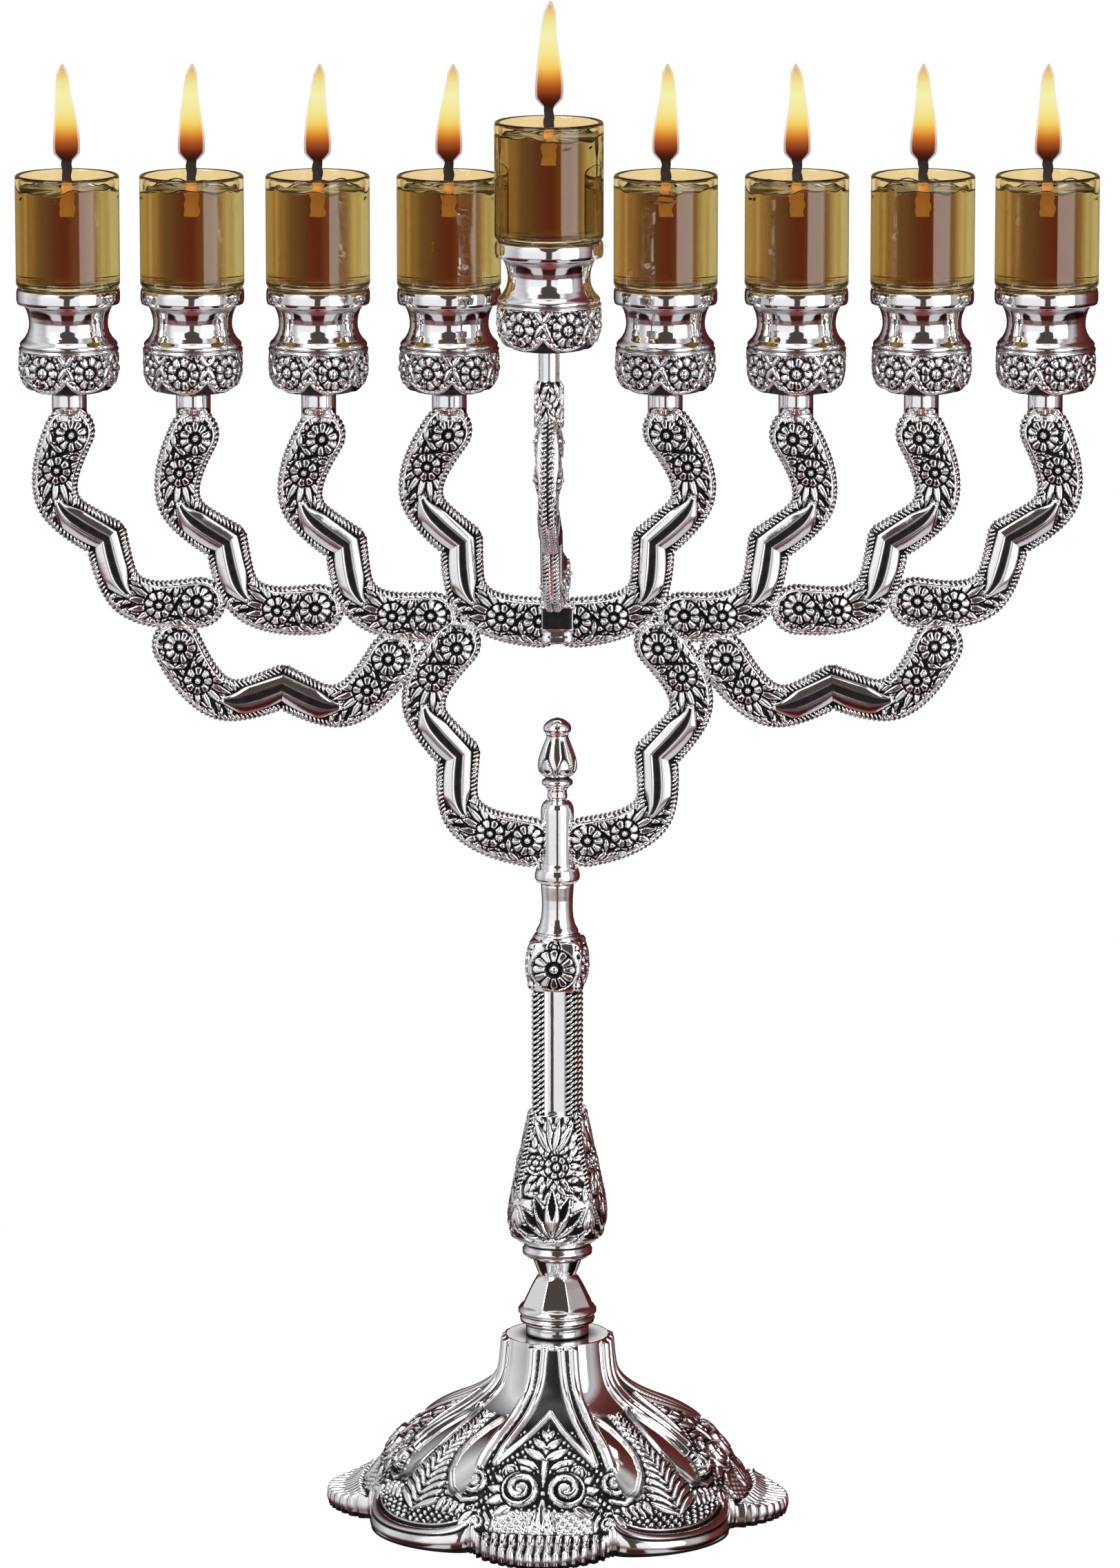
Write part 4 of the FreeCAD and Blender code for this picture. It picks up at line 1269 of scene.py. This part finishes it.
def make_world():
    """The studio: white to the camera, and what the silver and the glass see of the room."""
    world = bpy.data.worlds.new("studio")
    bpy.context.scene.world = world
    tree = Tree(world)
    split = tree.add("SeparateXYZ", Vector=tree.add("TexCoord").outputs["Generated"])
    x, y, z = split.outputs["X"], split.outputs["Y"], split.outputs["Z"]

    # Shares of a turn that are 0.5 at the front and at the back, and of the height, 0.5 at the horizon
    per_turn = 1 / (2 * math.pi)
    to_front = tree.math("ARCTAN2", x, tree.math("MULTIPLY", y, -1))
    front_share = tree.math("MULTIPLY_ADD", to_front, per_turn, 0.5)
    back_share = tree.math("MULTIPLY_ADD", tree.math("ARCTAN2", x, y), per_turn, 0.5)
    height_share = tree.math("MULTIPLY_ADD", z, 0.5, 0.5)

    def patch(across, across_stops, down, down_stops):
        """The product of a ramp round the room and a ramp up it."""
        return mix_colour(tree, 1, tree.ramp(across, across_stops), tree.ramp(down, down_stops), "MULTIPLY")

    round_the_room = [(0, (0.05, 0.012, 0.012)), (0.07, (0.06, 0.015, 0.015)), (0.12, (0.3, 0.3, 0.31)),
        (0.2, (0.75, 0.75, 0.77)), (0.3, (0.5, 0.5, 0.52)), (0.34, (0.95, 0.95, 0.97)),
        (0.62, (0.95, 0.95, 0.97)), (0.66, (0.35, 0.34, 0.35)), (0.72, (0.55, 0.54, 0.55)),
        (0.78, (0.16, 0.05, 0.05)), (0.88, (0.1, 0.02, 0.02)), (1, (0.05, 0.012, 0.012))]
    floor_to_top = [(0, (0.5, 0.09, 0.08)), (0.07, (0.4, 0.07, 0.06)), (0.13, (0.05, 0.014, 0.012)),
        (0.2, (0.03, 0.012, 0.012)), (0.29, (0.16, 0.05, 0.05)), (0.33, (0.42, 0.34, 0.34)),
        (0.37, (0.86, 0.85, 0.87)), (0.5, 1), (1, 1)]
    room = patch(front_share, round_the_room, height_share, floor_to_top)
    off_front = tree.math("ABSOLUTE", tree.math("SUBTRACT", front_share, 0.5), 0)
    widening = tree.math("MULTIPLY_ADD", tree.math("MAXIMUM", z, 0), 0.12, 0.02)
    dark_wedge = patch(tree.math("DIVIDE", off_front, widening), [(0, 1), (0.85, 1), (1, 0)], height_share,
        [(0, 0), (0.3, 0), (0.33, 1), (0.93, 1), (0.96, 0)])
    pale_wall = patch(front_share, [(0, 1), (0.02, 1), (0.035, 0), (0.965, 0), (0.98, 1), (1, 1)],
        height_share, [(0, 0), (0.54, 0), (0.56, 1), (0.68, 1), (0.72, 0), (1, 0)])
    pale_side = patch(tree.math("ABSOLUTE", x, 0), [(0, 0), (0.24, 0), (0.3, 1), (0.6, 1), (0.66, 0)],
        height_share, [(0, 1), (0.24, 1), (0.3, 0), (1, 0)])
    for area, colour in ((dark_wedge, (0.07, 0.055, 0.05, 1)), (pale_wall, (0.7, 0.7, 0.72, 1)),
            (pale_side, (0.6, 0.6, 0.62, 1))):
        room = mix_colour(tree, area, room, colour)

    # What glass mirrors, and what shows through a glass where it holds oil and above the oil
    dim_gold = (0.05, 0.04, 0.02)
    gold = (0.9, 0.72, 0.4)
    on_glass = tree.ramp(front_share, [(0, (0.4, 0.26, 0.1)), (0.12, (0.3, 0.2, 0.08)),
        (0.2, (0.04, 0.035, 0.03)), (0.8, (0.04, 0.035, 0.03)), (0.88, (0.3, 0.2, 0.08)),
        (1, (0.4, 0.26, 0.1))])
    through_oil = tree.ramp(back_share, [(0, 0.02), (0.24, (0.1, 0.09, 0.07)), (0.3, (1.3, 1.6, 1.6)),
        (0.37, (1.5, 1.8, 1.6)), (0.395, (1.15, 1.3, 1)), (0.41, (1.5, 1.6, 1.25)),
        (0.435, (0.75, 0.6, 0.45)), (0.462, (0.42, 0.24, 0.2)), (0.478, (0.56, 0.26, 0.2)),
        (0.492, (0.38, 0.12, 0.08)), (0.506, (0.4, 0.13, 0.09)), (0.518, (0.36, 0.18, 0.15)),
        (0.534, (0.42, 0.28, 0.22)), (0.556, (0.46, 0.35, 0.22)), (0.572, (0.74, 0.58, 0.3)),
        (0.588, (0.66, 0.5, 0.26)), (0.6, (1.15, 0.98, 0.55)), (0.614, (0.72, 0.58, 0.28)),
        (0.634, (0.95, 0.82, 0.38)), (0.71, (0.9, 0.8, 0.45)), (0.77, (0.1, 0.09, 0.07)), (1, 0.02)])
    above_oil = tree.ramp(back_share, [(0, (0.03, 0.025, 0.02)), (0.37, dim_gold), (0.42, gold),
        (0.58, gold), (0.63, dim_gold), (1, (0.03, 0.025, 0.02))])
    path = tree.add("LightPath")
    # A ray that leaves the glass after crossing the oil as well has gone through more than four surfaces
    deep = tree.math("GREATER_THAN", path.outputs["Transmission Depth"], 4.5)
    behind = mix_colour(tree, deep, above_oil, through_oil)
    seen = mix_colour(tree, path.outputs["Is Singular Ray"], room, on_glass)
    seen = mix_colour(tree, path.outputs["Is Transmission Ray"], seen, behind)
    seen = mix_colour(tree, path.outputs["Is Camera Ray"], seen, (1, 1, 1, 1))
    tree.feed(tree.nodes["Background"].inputs["Color"], seen)


make_floor()
make_world()
lamp("panel_right", 7.5, 0.95, 1.5, (0.92, -0.92, 0.5), (0, 0, 0.3))
lamp("key_left", 14, 0.9, 0.9, (-1.1, -1.2, 1.4), (0, 0, 0.25))
lamp("top", 12, 1.4, 1, (0, 0.2, 2), (0, 0, 0.2))
bpy.context.scene.view_settings.view_transform = "Standard"
